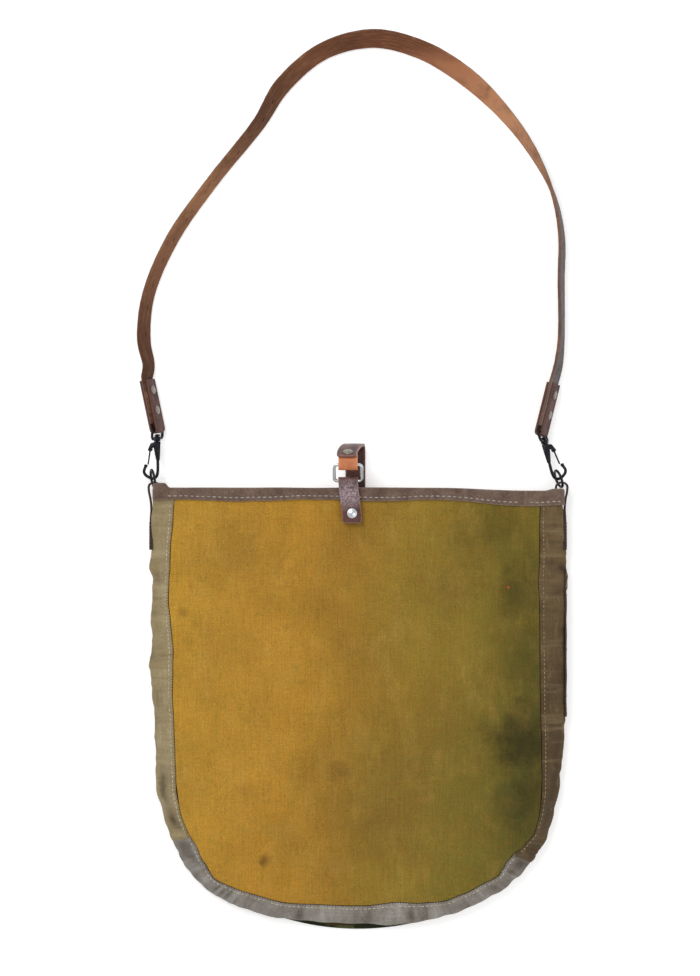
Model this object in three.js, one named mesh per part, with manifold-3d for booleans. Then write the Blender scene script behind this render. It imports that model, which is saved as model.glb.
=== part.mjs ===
// Canvas sack with a leather shoulder strap, lying on its back. Millimetres, +Z up.
// Origin: the middle of the back panel's outer face. +Y runs from the sack to its mouth and strap.
import * as THREE from 'three';
import { mergeVertices } from 'three/addons/utils/BufferGeometryUtils.js';
import Module from 'manifold-3d';

const wasm = await Module();
wasm.setup();

// ---------------------------------------------------------------- driving sizes
const gap = 0.3;                 // left between pieces that touch
const seamGap = 1.2;             // left between the front panel's edge and the gusset
const canvas = 2;                // canvas thickness
const mouthY = 220;              // top edge of the mouth binding
const bottomStartY = -72;        // where the straight sides turn into the rounded bottom

// outlines of the sack: half width, depth of the rounded bottom, roundness exponent
const frontSeam = { half: 182, depth: 122, power: 2.6 };
const outerFold = { half: 205, depth: 141, power: 2.4 };
const backEdge = { half: 198, depth: 149, power: 2.0, mouthInset: 0.08 };
const backSeam = { half: 190, depth: 136, power: 2.2 };
const mouthNarrowing = 10;       // the sides draw in this much at the mouth

const bodyTop = 27;              // height of the front seam over the body
const mouthTop = 23;             // height of the front canvas at the mouth
const mouthLift = 5.4;           // height of the back canvas at the mouth
const domeRise = 3;              // how far the front panel swells at its middle
const foldHeight = 13;           // height of the gusset's outermost fold

const binding = { leather: 1.6, depth: 16, jointX: 166, leftX: 180 };
const sideTab = { width: 10, leather: 1.8, lowY: 158 };
const ring = { radius: 8.7, wire: 1.3, z: 13 };
const strap = { width: 20, thick: 4 };
const strapEnd = { width: 19, leather: 2, length: 50, rivets: [18.5, 39] };
const hook = { wire: 1.5, length: 49, thick: 5 };
const closure = { x: -6, width: 20, leather: 3 };
const closureRing = { half: 15, wire: 1.35, topY: 242.5, topZ: 39, lowY: 226.5, lowZ: 29 };

const looks = {
  canvasFront: { color: 0xa8832f, roughness: 0.95, metalness: 0 },
  canvasBack: { color: 0x3d4426, roughness: 0.95, metalness: 0 },
  gussetKhaki: { color: 0x96805c, roughness: 0.95, metalness: 0 },
  gussetGrey: { color: 0x8c8074, roughness: 0.95, metalness: 0 },
  suede: { color: 0x6e5a4e, roughness: 0.9, metalness: 0 },
  strapLeather: { color: 0x825537, roughness: 0.7, metalness: 0 },
  endLeather: { color: 0x5f3a30, roughness: 0.65, metalness: 0 },
  darkLeather: { color: 0x4b3228, roughness: 0.6, metalness: 0 },
  tanLeather: { color: 0xb5683a, roughness: 0.65, metalness: 0 },
  blackMetal: { color: 0x1b1c20, roughness: 0.45, metalness: 0.8 },
  nickel: { color: 0xc8c9c8, roughness: 0.3, metalness: 1 },
};

const sack = new THREE.Group();
const vec = (x, y, z) => new THREE.Vector3(x, y, z);
const Z = vec(0, 0, 1);
const X = vec(1, 0, 0);

// ---------------------------------------------------------------- solids
function solidFrom(points, faces) {
  const geometry = new THREE.BufferGeometry();
  let volume = 0;
  for (const [a, b, c] of faces) {
    volume += points[a].dot(vec(0, 0, 0).crossVectors(points[b], points[c]));
  }
  const order = volume > 0 ? faces : faces.map(([a, b, c]) => [a, c, b]);
  const places = points.flatMap((p) => p.toArray());
  geometry.setAttribute('position', new THREE.Float32BufferAttribute(places, 3));
  geometry.setIndex(order.flat());
  return geometry;
}

// A solid through matching outlines, capped at both ends or closed on itself.
function loft(sections, closed = false) {
  const count = sections[0].length;
  const faces = [];
  const steps = closed ? sections.length : sections.length - 1;
  for (let i = 0; i < steps; i += 1) {
    const here = i * count;
    const next = ((i + 1) % sections.length) * count;
    for (let j = 0; j < count; j += 1) {
      const k = (j + 1) % count;
      faces.push([here + j, here + k, next + k], [here + j, next + k, next + j]);
    }
  }
  if (!closed) {
    for (const [index, flip] of [[0, true], [sections.length - 1, false]]) {
      for (const [a, b, c] of capFaces(sections[index])) {
        const base = index * count;
        faces.push(flip ? [base + a, base + c, base + b] : [base + a, base + b, base + c]);
      }
    }
  }
  return solidFrom(sections.flat(), faces);
}

function capFaces(outline) {
  const normal = vec(0, 0, 0);
  outline.forEach((p, i) => {
    normal.add(vec(0, 0, 0).crossVectors(p, outline[(i + 1) % outline.length]));
  });
  normal.normalize();
  const across = outline[1].clone().sub(outline[0]).normalize();
  const up = vec(0, 0, 0).crossVectors(normal, across);
  const flat = outline.map((p) => new THREE.Vector2(p.dot(across), p.dot(up)));
  return THREE.ShapeUtils.triangulateShape(flat, []);
}

// A solid sheet: surface(u, v, side) gives its two faces, side 0 and side 1.
function sheet(surface, across, along) {
  const points = [];
  const index = (i, j, side) => (side * (across + 1) + i) * (along + 1) + j;
  for (let side = 0; side < 2; side += 1) {
    for (let i = 0; i <= across; i += 1) {
      for (let j = 0; j <= along; j += 1) points.push(surface(i / across, j / along, side));
    }
  }
  const faces = [];
  const quad = (a, b, c, d) => faces.push([a, b, c], [a, c, d]);
  for (let i = 0; i < across; i += 1) {
    for (let j = 0; j < along; j += 1) {
      quad(index(i, j, 0), index(i + 1, j, 0), index(i + 1, j + 1, 0), index(i, j + 1, 0));
      quad(index(i, j, 1), index(i, j + 1, 1), index(i + 1, j + 1, 1), index(i + 1, j, 1));
    }
  }
  for (let i = 0; i < across; i += 1) {
    quad(index(i, 0, 0), index(i, 0, 1), index(i + 1, 0, 1), index(i + 1, 0, 0));
    quad(index(i, along, 0), index(i + 1, along, 0), index(i + 1, along, 1), index(i, along, 1));
  }
  for (let j = 0; j < along; j += 1) {
    quad(index(0, j, 0), index(0, j + 1, 0), index(0, j + 1, 1), index(0, j, 1));
    quad(index(across, j, 0), index(across, j, 1), index(across, j + 1, 1), index(across, j + 1, 0));
  }
  return solidFrom(points, faces);
}

const tangentAt = (path, i, closed) => {
  const last = path.length - 1;
  const before = i > 0 ? path[i - 1] : path[closed ? last : 0];
  const after = i < last ? path[i + 1] : path[closed ? 0 : last];
  return after.clone().sub(before).normalize();
};

// Round wire along a path that lies in the plane across normal.
function wire(path, radius, normal, closed = false, sides = 8) {
  return loft(path.map((p, i) => {
    const side = vec(0, 0, 0).crossVectors(normal, tangentAt(path, i, closed)).normalize();
    return Array.from({ length: sides }, (_, k) => {
      const turn = (2 * Math.PI * (k + 0.5)) / sides;
      return p.clone().addScaledVector(side, radius * Math.cos(turn))
        .addScaledVector(normal, radius * Math.sin(turn));
    });
  }), closed);
}

// Flat leather along a path that lies in the plane across normal, its width along normal.
function band(path, width, thick, normal) {
  return loft(path.map((p, i) => {
    const side = vec(0, 0, 0).crossVectors(normal, tangentAt(path, i, false)).normalize();
    return [[-1, -1], [1, -1], [1, 1], [-1, 1]].map(([w, t]) => p.clone()
      .addScaledVector(normal, (w * width) / 2).addScaledVector(side, (t * thick) / 2));
  }));
}

const smooth = (points, steps) =>
  new THREE.CatmullRomCurve3(points, false, 'centripetal').getSpacedPoints(steps);

function manifoldOf(geometry) {
  const bare = geometry.clone();
  bare.deleteAttribute('normal');
  bare.deleteAttribute('uv');
  const merged = mergeVertices(bare, 1e-4);
  return new wasm.Manifold(new wasm.Mesh({
    numProp: 3,
    vertProperties: new Float32Array(merged.attributes.position.array),
    triVerts: new Uint32Array(merged.index.array),
  }));
}

function geometryOf(manifold) {
  const mesh = manifold.getMesh();
  const geometry = new THREE.BufferGeometry();
  geometry.setAttribute('position', new THREE.BufferAttribute(Float32Array.from(mesh.vertProperties), 3));
  geometry.setIndex(Array.from(mesh.triVerts));
  return geometry;
}

const join = (...parts) => geometryOf(parts.map(manifoldOf).reduce((all, part) => all.add(part)));
const cut = (body, ...holes) => geometryOf(
  holes.map(manifoldOf).reduce((all, hole) => all.subtract(hole), manifoldOf(body)));

// A turned piece from [radius, height] pairs, stood at a place with its axis along a direction.
function turned(profile, place, axis, sides = 20) {
  const lathe = new THREE.LatheGeometry(profile.map(([r, h]) => new THREE.Vector2(r, h)), sides);
  const turn = new THREE.Quaternion().setFromUnitVectors(vec(0, 1, 0), axis.clone().normalize());
  return lathe.applyQuaternion(turn).translate(place.x, place.y, place.z);
}

const pin = (radius, low, high, place, axis, sides = 16) => turned(
  [[0, low], [radius, low], [radius, high], [0, high]], place, axis, sides);

function add(name, geometry, look, parent = sack) {
  const mesh = new THREE.Mesh(geometry, new THREE.MeshStandardMaterial(looks[look]));
  mesh.name = name;
  parent.add(mesh);
  return mesh;
}

// ---------------------------------------------------------------- the sack's shape
const ease = (t) => {
  const c = Math.min(1, Math.max(0, t));
  return c * c * (3 - 2 * c);
};
const nearMouth = (y, start, end) => ease((y - start) / (end - start));
const frontZ = (y) => bodyTop - (bodyTop - mouthTop) * nearMouth(y, 110, 203);
const backZ = (y) => mouthLift * nearMouth(y, 130, 180);

// A point of an outline at turn 0 (left, bottom start) to 1 (right), round the bottom.
function bottomPoint(outline, turn) {
  const angle = Math.PI * turn;
  const c = Math.cos(angle);
  const s = Math.sin(angle);
  return [
    -Math.sign(c) * outline.half * Math.abs(c) ** (2 / outline.power),
    bottomStartY - outline.depth * Math.abs(s) ** (2 / outline.power),
  ];
}

const bottomYAt = (outline, x) => bottomStartY
  - outline.depth * (1 - Math.min(1, Math.abs(x / outline.half)) ** outline.power) ** (1 / outline.power);

// A panel between the mouth and its rounded bottom; height(x, y) is the middle of its thickness.
function panel(outline, topY, height) {
  return sheet((u, v, side) => {
    const x = outline.half * Math.sin(Math.PI * (u - 0.5));
    const low = bottomYAt(outline, x);
    const y = topY + (low - topY) * v ** 1.7;
    const narrowed = x * (1 - (outline.mouthInset ?? 0) * nearMouth(y, 95, 150));
    return vec(narrowed, y, height(x, y) + (side - 0.5) * canvas);
  }, 22, 15);
}

const inset = (outline, by) => ({ ...outline, half: outline.half - by, depth: outline.depth - by });
const canvasTopY = mouthY - binding.leather - 0.4;
const dome = (x, y) => domeRise * (1 - (x / frontSeam.half) ** 2) * (1 - nearMouth(y, 60, 190))
  * ease((y + 194) / 120);
const frontMiddle = (x, y) => frontZ(y) - canvas / 2 + dome(x, y);

const studPlace = vec(closure.x, 194.5, frontMiddle(closure.x, 194.5));
add('front_panel', cut(
  panel(inset(frontSeam, seamGap), canvasTopY, frontMiddle),
  pin(1.9, -3, 3, studPlace, Z, 12),
), 'canvasFront');
add('back_panel', panel(backEdge, canvasTopY, (x, y) => backZ(y) + canvas / 2), 'canvasBack');

// The gusset folds outward between the two seams. Its station runs from 0 at the left of the mouth,
// over 1 and 2 where the bottom's curve starts and ends, to 3 at the right of the mouth.
const narrow = (y) => mouthNarrowing * nearMouth(y, 140, 203);
const backNarrow = (y) => 6 * nearMouth(y, 95, 150);
// Over the body the gusset laps over the back panel; at the mouth their edges lie side by side.
const backStep = (y) => (canvas + gap) * (1 - nearMouth(y, 155, 195));
function gussetSection(station, across, side) {
  const t = canvas * side;
  const at = (outline, shrink) => {
    const half = outline.half - shrink;
    if (station <= 1) return [-half, canvasTopY + (bottomStartY - canvasTopY) * station];
    if (station >= 2) return [half, bottomStartY + (canvasTopY - bottomStartY) * (station - 2)];
    return bottomPoint(inset(outline, shrink), station - 1);
  };
  const y = at(frontSeam, 0)[1];
  const front = [...at(frontSeam, 0), frontZ(y) - t];
  const fold = [...at(outerFold, t + narrow(y)), foldHeight];
  const back = [...at(backSeam, backNarrow(y)), backZ(y) + backStep(y) + t];
  const weights = [(1 - across) * (1 - 2 * across), 4 * across * (1 - across), across * (2 * across - 1)];
  const sum = (k) => weights[0] * front[k] + weights[1] * fold[k] + weights[2] * back[k];
  return vec(sum(0), sum(1), sum(2));
}
const gussetJoin = { left: 1.12, right: 1.82 };
const mouthStations = [0, 0.04, 0.08, 0.12, 0.17, 0.22, 0.27, 0.33, 0.4, 0.52, 0.68, 0.84];
const evenly = (from, to, steps) =>
  Array.from({ length: steps + 1 }, (_, k) => from + ((to - from) * k) / steps);
const gusset = (stations) => {
  const steps = stations.length - 1;
  return sheet((u, v, side) => gussetSection(stations[Math.round(u * steps)], v, side), steps, 5);
};
const joinGap = 0.001;
add('gusset_left', gusset([...mouthStations, ...evenly(1, gussetJoin.left - joinGap, 7)]), 'gussetKhaki');
const bottomStations = evenly(gussetJoin.left + joinGap, gussetJoin.right - joinGap, 24);
add('gusset_bottom', gusset(bottomStations), 'gussetGrey');
add('gusset_right', gusset([...evenly(gussetJoin.right + joinGap, 2, 8),
  ...mouthStations.map((station) => 3 - station).reverse()]), 'gussetKhaki');

// ---------------------------------------------------------------- mouth binding
// A folded strip astride the canvas edge: legs outside and inside, closed over the top.
const bindingSection = (x, z, normalX, normalZ) => {
  const inner = canvas / 2 + gap;
  const outer = inner + binding.leather;
  const low = mouthY - binding.depth;
  const crown = mouthY - binding.leather;
  return [[outer, low], [outer, mouthY - 0.8], [outer - 0.8, mouthY], [0.8 - outer, mouthY],
    [-outer, mouthY - 0.8], [-outer, low], [-inner, low], [-inner, crown], [inner, crown], [inner, low]]
    .map(([n, y]) => vec(x + normalX * n, y, z + normalZ * n));
};
const bindingAlong = (path) => loft(path.map(([x, z], i) => {
  const [ax, az] = path[Math.max(0, i - 1)];
  const [bx, bz] = path[Math.min(path.length - 1, i + 1)];
  const length = Math.hypot(bx - ax, bz - az);
  return bindingSection(x, z, -(bz - az) / length, (bx - ax) / length);
}));
const mouthPlace = (x) => [x, mouthTop - canvas / 2];
const sidePath = (sign) => {
  const points = [];
  for (let k = 1; k <= 5; k += 1) {
    const middle = gussetSection(3, k / 5, 0.5);
    points.push([sign * middle.x, middle.z]);
  }
  return points;
};
add('binding_front', bindingAlong([mouthPlace(-binding.leftX), mouthPlace(0),
  mouthPlace(binding.jointX - gap / 2)]), 'suede');
const backMiddle = mouthLift + canvas / 2;
const rightSide = sidePath(1);
const leftSide = sidePath(-1).reverse();
add('binding_back', bindingAlong([
  mouthPlace(binding.jointX + gap / 2), mouthPlace(frontSeam.half), ...rightSide,
  [0, backMiddle], ...leftSide,
  mouthPlace(-frontSeam.half), mouthPlace(-binding.leftX - gap),
]), 'suede');

// ---------------------------------------------------------------- side tabs and rings
// A strip of leather sewn to the side of the mouth, looped over at the top to hold a ring.
// hookUp and endUp are the ways the hook and the strap's end run; lean tips the strap, in degrees.
const sides = [
  {
    name: 'left', sign: -1, ringYaw: 10, ringTilt: 8, hookUp: [0.02, 1], endUp: [-0.205, 0.979],
    lean: 22,
  },
  {
    name: 'right', sign: 1, ringYaw: 20, ringTilt: 0, hookUp: [-0.28, 0.96], endUp: [0.241, 0.97],
    lean: -22,
  },
];
const radians = (degrees) => (degrees * Math.PI) / 180;
const ringPivot = { x: 202.8, y: 220.5 };
// Below the mouth the tab follows the gusset's side outward.
const sideShift = (y) => 5.58 * (1 - nearMouth(y, 140, 203));
const tabPath = (sign) => {
  const layer = sideTab.leather + gap;
  const inner = [[199.9, 199], [199.4, 212], [199.4, 221.5]];
  const outer = [[206.2, 221.5], [205.6, 211], [203.4 + layer / 2, 199]];
  const points = [vec(201.4, sideTab.lowY, ring.z), vec(201.4, 185, ring.z)];
  points.push(...inner.map(([x, y]) => vec(x, y, ring.z)));
  for (let k = 1; k < 6; k += 1) {
    const turn = Math.PI * (1 - k / 6);
    points.push(vec(202.8 + 3.4 * Math.cos(turn), 221.5 + 5 * Math.sin(turn), ring.z));
  }
  points.push(...outer.map(([x, y]) => vec(x, y, ring.z)));
  points.push(vec(201.4 + layer, 185, ring.z), vec(201.4 + layer, sideTab.lowY, ring.z));
  return points.map((p) => vec(sign * (p.x + sideShift(p.y)), p.y, p.z));
};

for (const side of sides) {
  const tab = band(tabPath(side.sign), sideTab.width, sideTab.leather, Z);
  add(`side_tab_${side.name}`, tab, 'darkLeather');
  const yaw = radians(side.ringYaw);
  const outward = vec(-Math.sin(yaw), Math.cos(yaw), 0);
  const pivot = vec(side.sign * ringPivot.x, ringPivot.y, ring.z);
  side.ringCentre = pivot.clone().addScaledVector(outward, ring.radius);
  const torus = new THREE.TorusGeometry(ring.radius, ring.wire, 8, 32);
  const flat = vec(0, 0, 0).crossVectors(Z, outward);
  const normal = flat.clone().applyAxisAngle(outward, radians(side.ringTilt));
  torus.applyQuaternion(new THREE.Quaternion().setFromUnitVectors(Z, normal));
  torus.translate(...side.ringCentre.toArray());
  add(`ring_${side.name}`, torus, 'blackMetal');
}

// ---------------------------------------------------------------- snap hooks
// The hook is drawn flat: u towards its mouth, v from the bend up to the eye.
const hookSpine = [
  [-1, 20], [-1, 5], [0.4, 1.2], [3.5, -0.3], [7.6, 0.8], [11.4, 3.6], [12.5, 6.6], [10.8, 12],
];
const hookCheek = [
  [-3, 18], [0.6, 18], [3.4, 31], [7.2, 26], [9.2, 28], [6.4, 34.6], [1.5, 36.4], [-3.4, 36.4],
];
const gatePivot = [6.4, 28.6];
const gateTip = [8.6, 13.4];
const eyeSlot = { half: 12, low: 39.4, wire: 1.4 };

const endFrame = (side) => {
  const along = vec(side.endUp[0], side.endUp[1], 0).normalize();
  const outward = vec(-side.sign * -along.y, -side.sign * along.x, 0);
  const tip = radians(side.lean);
  return {
    along,
    wide: Z.clone().multiplyScalar(Math.cos(tip)).addScaledVector(outward, Math.sin(tip)),
    face: outward.clone().multiplyScalar(Math.cos(tip)).addScaledVector(Z, -Math.sin(tip)),
  };
};

for (const side of sides) {
  const up = vec(side.hookUp[0], side.hookUp[1], 0).normalize();
  const out = vec(side.sign * Math.abs(up.y), side.sign * -Math.sign(up.y) * up.x, 0);
  const centre = side.ringCentre;
  const origin = centre.clone().addScaledVector(out, -3.5).addScaledVector(up, 0.3);
  const at = ([u, v], z = 0) => origin.clone().addScaledVector(out, u).addScaledVector(up, v)
    .addScaledVector(Z, z);
  side.hookOrigin = origin;
  side.hookUpward = up;
  side.eye = at([0, hook.length]);

  const spine = wire(smooth(hookSpine.map((p) => at(p)), 26), hook.wire, Z);
  const cheek = loft([-1, 1].map((s) => hookCheek.map((p) => at(p, (s * hook.thick) / 2))));
  const knuckleRoom = pin(2.9, -1.6, 1.6, at(gatePivot), Z);
  const swivel = pin(1.6, -2, 7.6, at([0, 36]), up, 12);
  const swivelHead = pin(2.8, 6, 7.6, at([0, 36]), up, 12);
  const body = join(cut(join(spine, cheek), knuckleRoom), swivel, swivelHead);
  add(`hook_body_${side.name}`, body, 'blackMetal');

  const barrel = pin(2.1, -1.3, 1.3, at(gatePivot), Z, 12);
  const gateWire = wire([at([6.8, 27.4]), at([7.6, 21]), at(gateTip)], 0.8, Z, false, 6);
  add(`hook_gate_${side.name}`, join(barrel, gateWire), 'blackMetal');

  // The eye's plane holds the strap's width: a bar for the leather, two arms and a swivel block.
  const across = endFrame(side).wide;
  const corner = (w, v) => side.eye.clone().addScaledVector(across, w)
    .addScaledVector(up, v - hook.length);
  const w = eyeSlot.half;
  const eyePath = [
    corner(-w + 1.5, hook.length), corner(w - 1.5, hook.length), corner(w, hook.length - 1.5),
    corner(w, eyeSlot.low + 2), corner(w - 2, eyeSlot.low), corner(2 - w, eyeSlot.low),
    corner(-w, eyeSlot.low + 2), corner(-w, hook.length - 1.5),
  ];
  const eyeNormal = vec(0, 0, 0).crossVectors(up, across).normalize();
  const eyeWire = wire(eyePath, eyeSlot.wire, eyeNormal, true);
  const block = pin(3.4, 0.8, 5.6, at([0, 36]), up, 16);
  const bore = pin(1.9, -1, 12, at([0, 36]), up, 12);
  add(`hook_eye_${side.name}`, cut(join(eyeWire, block), bore), 'blackMetal');
}

// ---------------------------------------------------------------- shoulder strap
// It stands on its lower edge. Each point is x, y and how far the upper edge tips outward, in degrees.
const strapRoute = [
  [-208.5, 341, 24], [-213.5, 367, 29], [-209, 412, 25], [-185, 468, 26], [-145.5, 524.5, 23],
  [-98.5, 583.5, 28], [-76, 620, 42], [-35, 655, 43], [15, 668, 52], [62.5, 657, 53], [105, 632, 54],
  [141.5, 598, 31], [171.5, 559, 14], [194, 514, -6], [202.8, 472, -13], [202.5, 428, -14],
  [202.5, 368, -13], [199.5, 342, -20],
];
const endPlace = (side, s, rise = 0) => side.eye.clone()
  .add(vec(side.endUp[0], side.endUp[1], 0).normalize().multiplyScalar(s)).add(vec(0, 0, rise));
const [left, right] = sides;
function strapSolid() {
  const straightStart = 6;
  const straightEnd = 52;
  const curvePoints = [
    [...endPlace(left, straightEnd).toArray().slice(0, 2), left.lean], ...strapRoute,
    [...endPlace(right, straightEnd).toArray().slice(0, 2), right.lean],
  ];
  // The lean rides along as the curve's third number, scaled down so that it hardly bends the spacing.
  const leanShare = 4;
  const curve = curvePoints.map(([x, y, lean]) => vec(x, y, lean / leanShare));
  const section = (place, along, lean) => {
    const outward = vec(-along.y, along.x, 0);
    const tip = radians(lean);
    const wide = Z.clone().multiplyScalar(Math.cos(tip)).addScaledVector(outward, Math.sin(tip));
    const face = outward.clone().multiplyScalar(Math.cos(tip)).addScaledVector(Z, -Math.sin(tip));
    return [[-1, -1], [1, -1], [1, 1], [-1, 1]].map(([a, b]) => place.clone()
      .addScaledVector(wide, (a * strap.width) / 2).addScaledVector(face, (b * strap.thick) / 2));
  };
  const steps = 60;
  const places = smooth(curve, steps);
  const sections = [section(endPlace(left, straightStart), endFrame(left).along, left.lean)];
  places.forEach((p, i) => {
    const lean = p.z * leanShare;
    const tip = radians(Math.abs(lean));
    const resting = (strap.width * Math.cos(tip) + strap.thick * Math.sin(tip)) / 2;
    const nearEnd = ease(1 - Math.min(i, steps - i) / 4);
    const height = resting + (ring.z - resting) * nearEnd;
    const along = tangentAt(places, i, false).setZ(0).normalize();
    const straight = i === 0 ? endFrame(left).along : endFrame(right).along.clone().negate();
    sections.push(section(vec(p.x, p.y, height), i === 0 || i === steps ? straight : along, lean));
  });
  const lastAlong = endFrame(right).along.clone().negate();
  sections.push(section(endPlace(right, straightStart), lastAlong, right.lean));
  return loft(sections);
}

const rivetHoles = [];
for (const side of sides) {
  const { along, wide, face } = endFrame(side);
  const at = (s, n) => endPlace(side, s).addScaledVector(face, n);
  const layer = strap.thick / 2 + gap + strapEnd.leather / 2;
  const fold = [];
  for (let k = 0; k <= 8; k += 1) {
    const turn = Math.PI * (k / 8);
    fold.push(at(-layer * Math.sin(turn), layer * Math.cos(turn)));
  }
  const path = [at(strapEnd.length, layer), ...fold, at(strapEnd.length, -layer)];
  const holes = strapEnd.rivets.map((s) => pin(2.3, -12, 12, at(s, 0), face, 12));
  rivetHoles.push(...holes);
  const folded = band(path, strapEnd.width, strapEnd.leather, wide);
  add(`strap_end_${side.name}`, cut(folded, ...holes), 'endLeather');
  const reach = layer + strapEnd.leather / 2 + gap;
  strapEnd.rivets.forEach((s, k) => {
    const profile = [[0, -reach - 1.2], [4, -reach - 1.2], [4.5, -reach], [2, -reach], [2, reach],
      [4.5, reach], [4, reach + 1.2], [0, reach + 1.2]];
    add(`strap_rivet_${side.name}_${k + 1}`, turned(profile, at(s, 0), face, 16), 'nickel');
  });
}
add('shoulder_strap', cut(strapSolid(), ...rivetHoles), 'strapLeather');

// ---------------------------------------------------------------- front closure
// A strap from behind the mouth carries a ring over to the front; a tab on the ring snaps shut.
const closurePath = (points) => points.map(([y, z]) => vec(closure.x, y, z));
const strapFold = { y: 262.3, z: 12 };
const baseRoute = [[184, 1.65], [226, 1.65], [246, 1.9], [257, 4.2], [strapFold.y, strapFold.z - 2]];
const upperRoute = [[strapFold.y, strapFold.z + 1.4], [261.6, 21], [258.2, 31], [253.4, 43.4]];
const foldPlace = (rise) => vec(closure.x, strapFold.y, strapFold.z + rise);
const closureBand = (path) => band(path, closure.width, closure.leather, X);
const basePath = [...smooth(closurePath(baseRoute), 16), foldPlace(-0.5)];
add('closure_strap_base', closureBand(basePath), 'darkLeather');

const keeperRivet = { y: 257.2, z: 33.6 };
const [slopeFoot, slopeHead] = upperRoute.slice(-2);
const slopeUp = vec(0, slopeHead[0] - slopeFoot[0], slopeHead[1] - slopeFoot[1]).normalize();
const slopeOut = vec(0, slopeUp.z, -slopeUp.y);
const keeperHole = pin(1.9, -14, 14, vec(closure.x, keeperRivet.y, keeperRivet.z), slopeOut, 12);
const upperPath = [foldPlace(0), ...smooth(closurePath(upperRoute), 10)];
add('closure_strap', cut(closureBand(upperPath), keeperHole), 'darkLeather');

// Rectangular ring with rounded corners, tilted between its two bars.
const ringPath = () => {
  const { half, wire: r, topY, topZ, lowY, lowZ } = closureRing;
  const long = vec(0, topY - lowY, topZ - lowZ);
  const length = long.length();
  const up = long.clone().normalize();
  const corner = 3.5;
  const points = [];
  const centres = [[half - r - corner, length - corner, 0], [corner + r - half, length - corner, 90],
    [corner + r - half, corner, 180], [half - r - corner, corner, 270]];
  for (const [cx, cy, start] of centres) {
    for (let k = 0; k <= 4; k += 1) {
      const turn = radians(start + k * 22.5);
      points.push(vec(closure.x + cx + corner * Math.cos(turn), lowY, lowZ)
        .addScaledVector(up, cy + corner * Math.sin(turn)));
    }
  }
  return { points, normal: vec(0, 0, 0).crossVectors(X, up) };
};
const { points: ringPoints, normal: ringNormal } = ringPath();
add('closure_ring', wire(ringPoints, closureRing.wire, ringNormal, true), 'nickel');

// The keeper: a short tan fold round the ring's top bar, riveted inside the strap's end.
const keeperLayer = 1.6;
const barRoom = closureRing.wire + gap + 0.2 + keeperLayer / 2;
const bar = vec(closure.x, closureRing.topY, closureRing.topZ);
const keeperAt = (s, n) => vec(closure.x, keeperRivet.y, keeperRivet.z)
  .addScaledVector(slopeUp, s).addScaledVector(slopeOut, n);
const outerLegN = -(closure.leather / 2 + gap + keeperLayer / 2);
const innerLegN = outerLegN - keeperLayer - gap;
const keeperPath = [keeperAt(-5, outerLegN), keeperAt(7, outerLegN)];
const overBar = 5;
keeperPath.push(bar.clone().add(vec(0, overBar, barRoom)));
for (let k = 0; k <= 10; k += 1) {
  const turn = Math.PI * (0.5 + (k / 10) * 1.05);
  keeperPath.push(bar.clone().add(vec(0, barRoom * Math.cos(turn), barRoom * Math.sin(turn))));
}
keeperPath.push(keeperAt(5, innerLegN), keeperAt(-5, innerLegN));
add('ring_keeper', cut(band(keeperPath, closure.width - 1, keeperLayer, X), keeperHole), 'tanLeather');
const keeperReach = closure.leather / 2 + gap;
const keeperBack = innerLegN - keeperLayer / 2 - gap;
const keeperRivetProfile = [
  [0, keeperBack - 1.2], [3.6, keeperBack - 1.2], [4, keeperBack], [1.6, keeperBack],
  [1.6, keeperReach], [5, keeperReach], [4, keeperReach + 1.2], [0, keeperReach + 1.6],
];
const keeperRivetPlace = vec(closure.x, keeperRivet.y, keeperRivet.z);
add('keeper_rivet', turned(keeperRivetProfile, keeperRivetPlace, slopeOut, 20), 'nickel');

// Front tab: folded round the ring's lower bar, its long layer reaching down to the snap.
const tabLeather = 2.2;
const tabBar = { y: closureRing.lowY, z: closureRing.lowZ };
const tabRoom = closureRing.wire + gap + 0.1 + tabLeather / 2;
const tabPathPoints = [[212, 26.6], [220.5, 26.5]];
for (let k = 0; k <= 8; k += 1) {
  const turn = -Math.PI / 2 + Math.PI * (k / 8);
  tabPathPoints.push([tabBar.y + tabRoom * Math.cos(turn), tabBar.z + tabRoom * Math.sin(turn)]);
}
tabPathPoints.push([219, 30.4], [212, 29.3], [204, 28.9], [184.5, 28.6]);
const snap = { y: 194.5, tabZ: 28.8, cap: 5.25, shank: 1.6, hole: 1.9 };
const snapHole = pin(snap.hole, -9, 9, vec(closure.x, snap.y, snap.tabZ), Z, 12);
const tabBand = band(closurePath(tabPathPoints), closure.width - 0.5, tabLeather, X);
add('closure_tab', cut(tabBand, snapHole), 'darkLeather');
const tabTop = snap.tabZ + tabLeather / 2 + gap;
const tabUnder = snap.tabZ - tabLeather / 2 - gap;
const snapAxis = vec(closure.x, snap.y, 0);
add('tab_snap_cap', turned([
  [0, tabUnder - 0.1], [snap.shank, tabUnder - 0.1], [snap.shank, tabTop], [snap.cap, tabTop],
  [4.6, tabTop + 1.2], [2.4, tabTop + 1.8], [0, tabTop + 2],
], snapAxis, Z), 'nickel');
add('tab_snap_socket', turned([
  [2.6, tabUnder - 2.4], [4.4, tabUnder - 2.4], [4.4, tabUnder], [2.6, tabUnder],
  [2.6, tabUnder - 2.4],
], snapAxis, Z), 'nickel');
const panelTop = studPlace.z + canvas / 2 + gap + 0.1;
const panelUnder = studPlace.z - canvas / 2 - gap;
add('snap_stud', turned([
  [0, panelUnder - 1], [4.6, panelUnder - 1], [4.6, panelUnder], [snap.shank, panelUnder],
  [snap.shank, panelTop], [4.6, panelTop], [2.2, panelTop + 0.8], [2.1, tabUnder - 0.5],
  [0, tabUnder - 0.5],
], snapAxis, Z), 'nickel');

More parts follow.
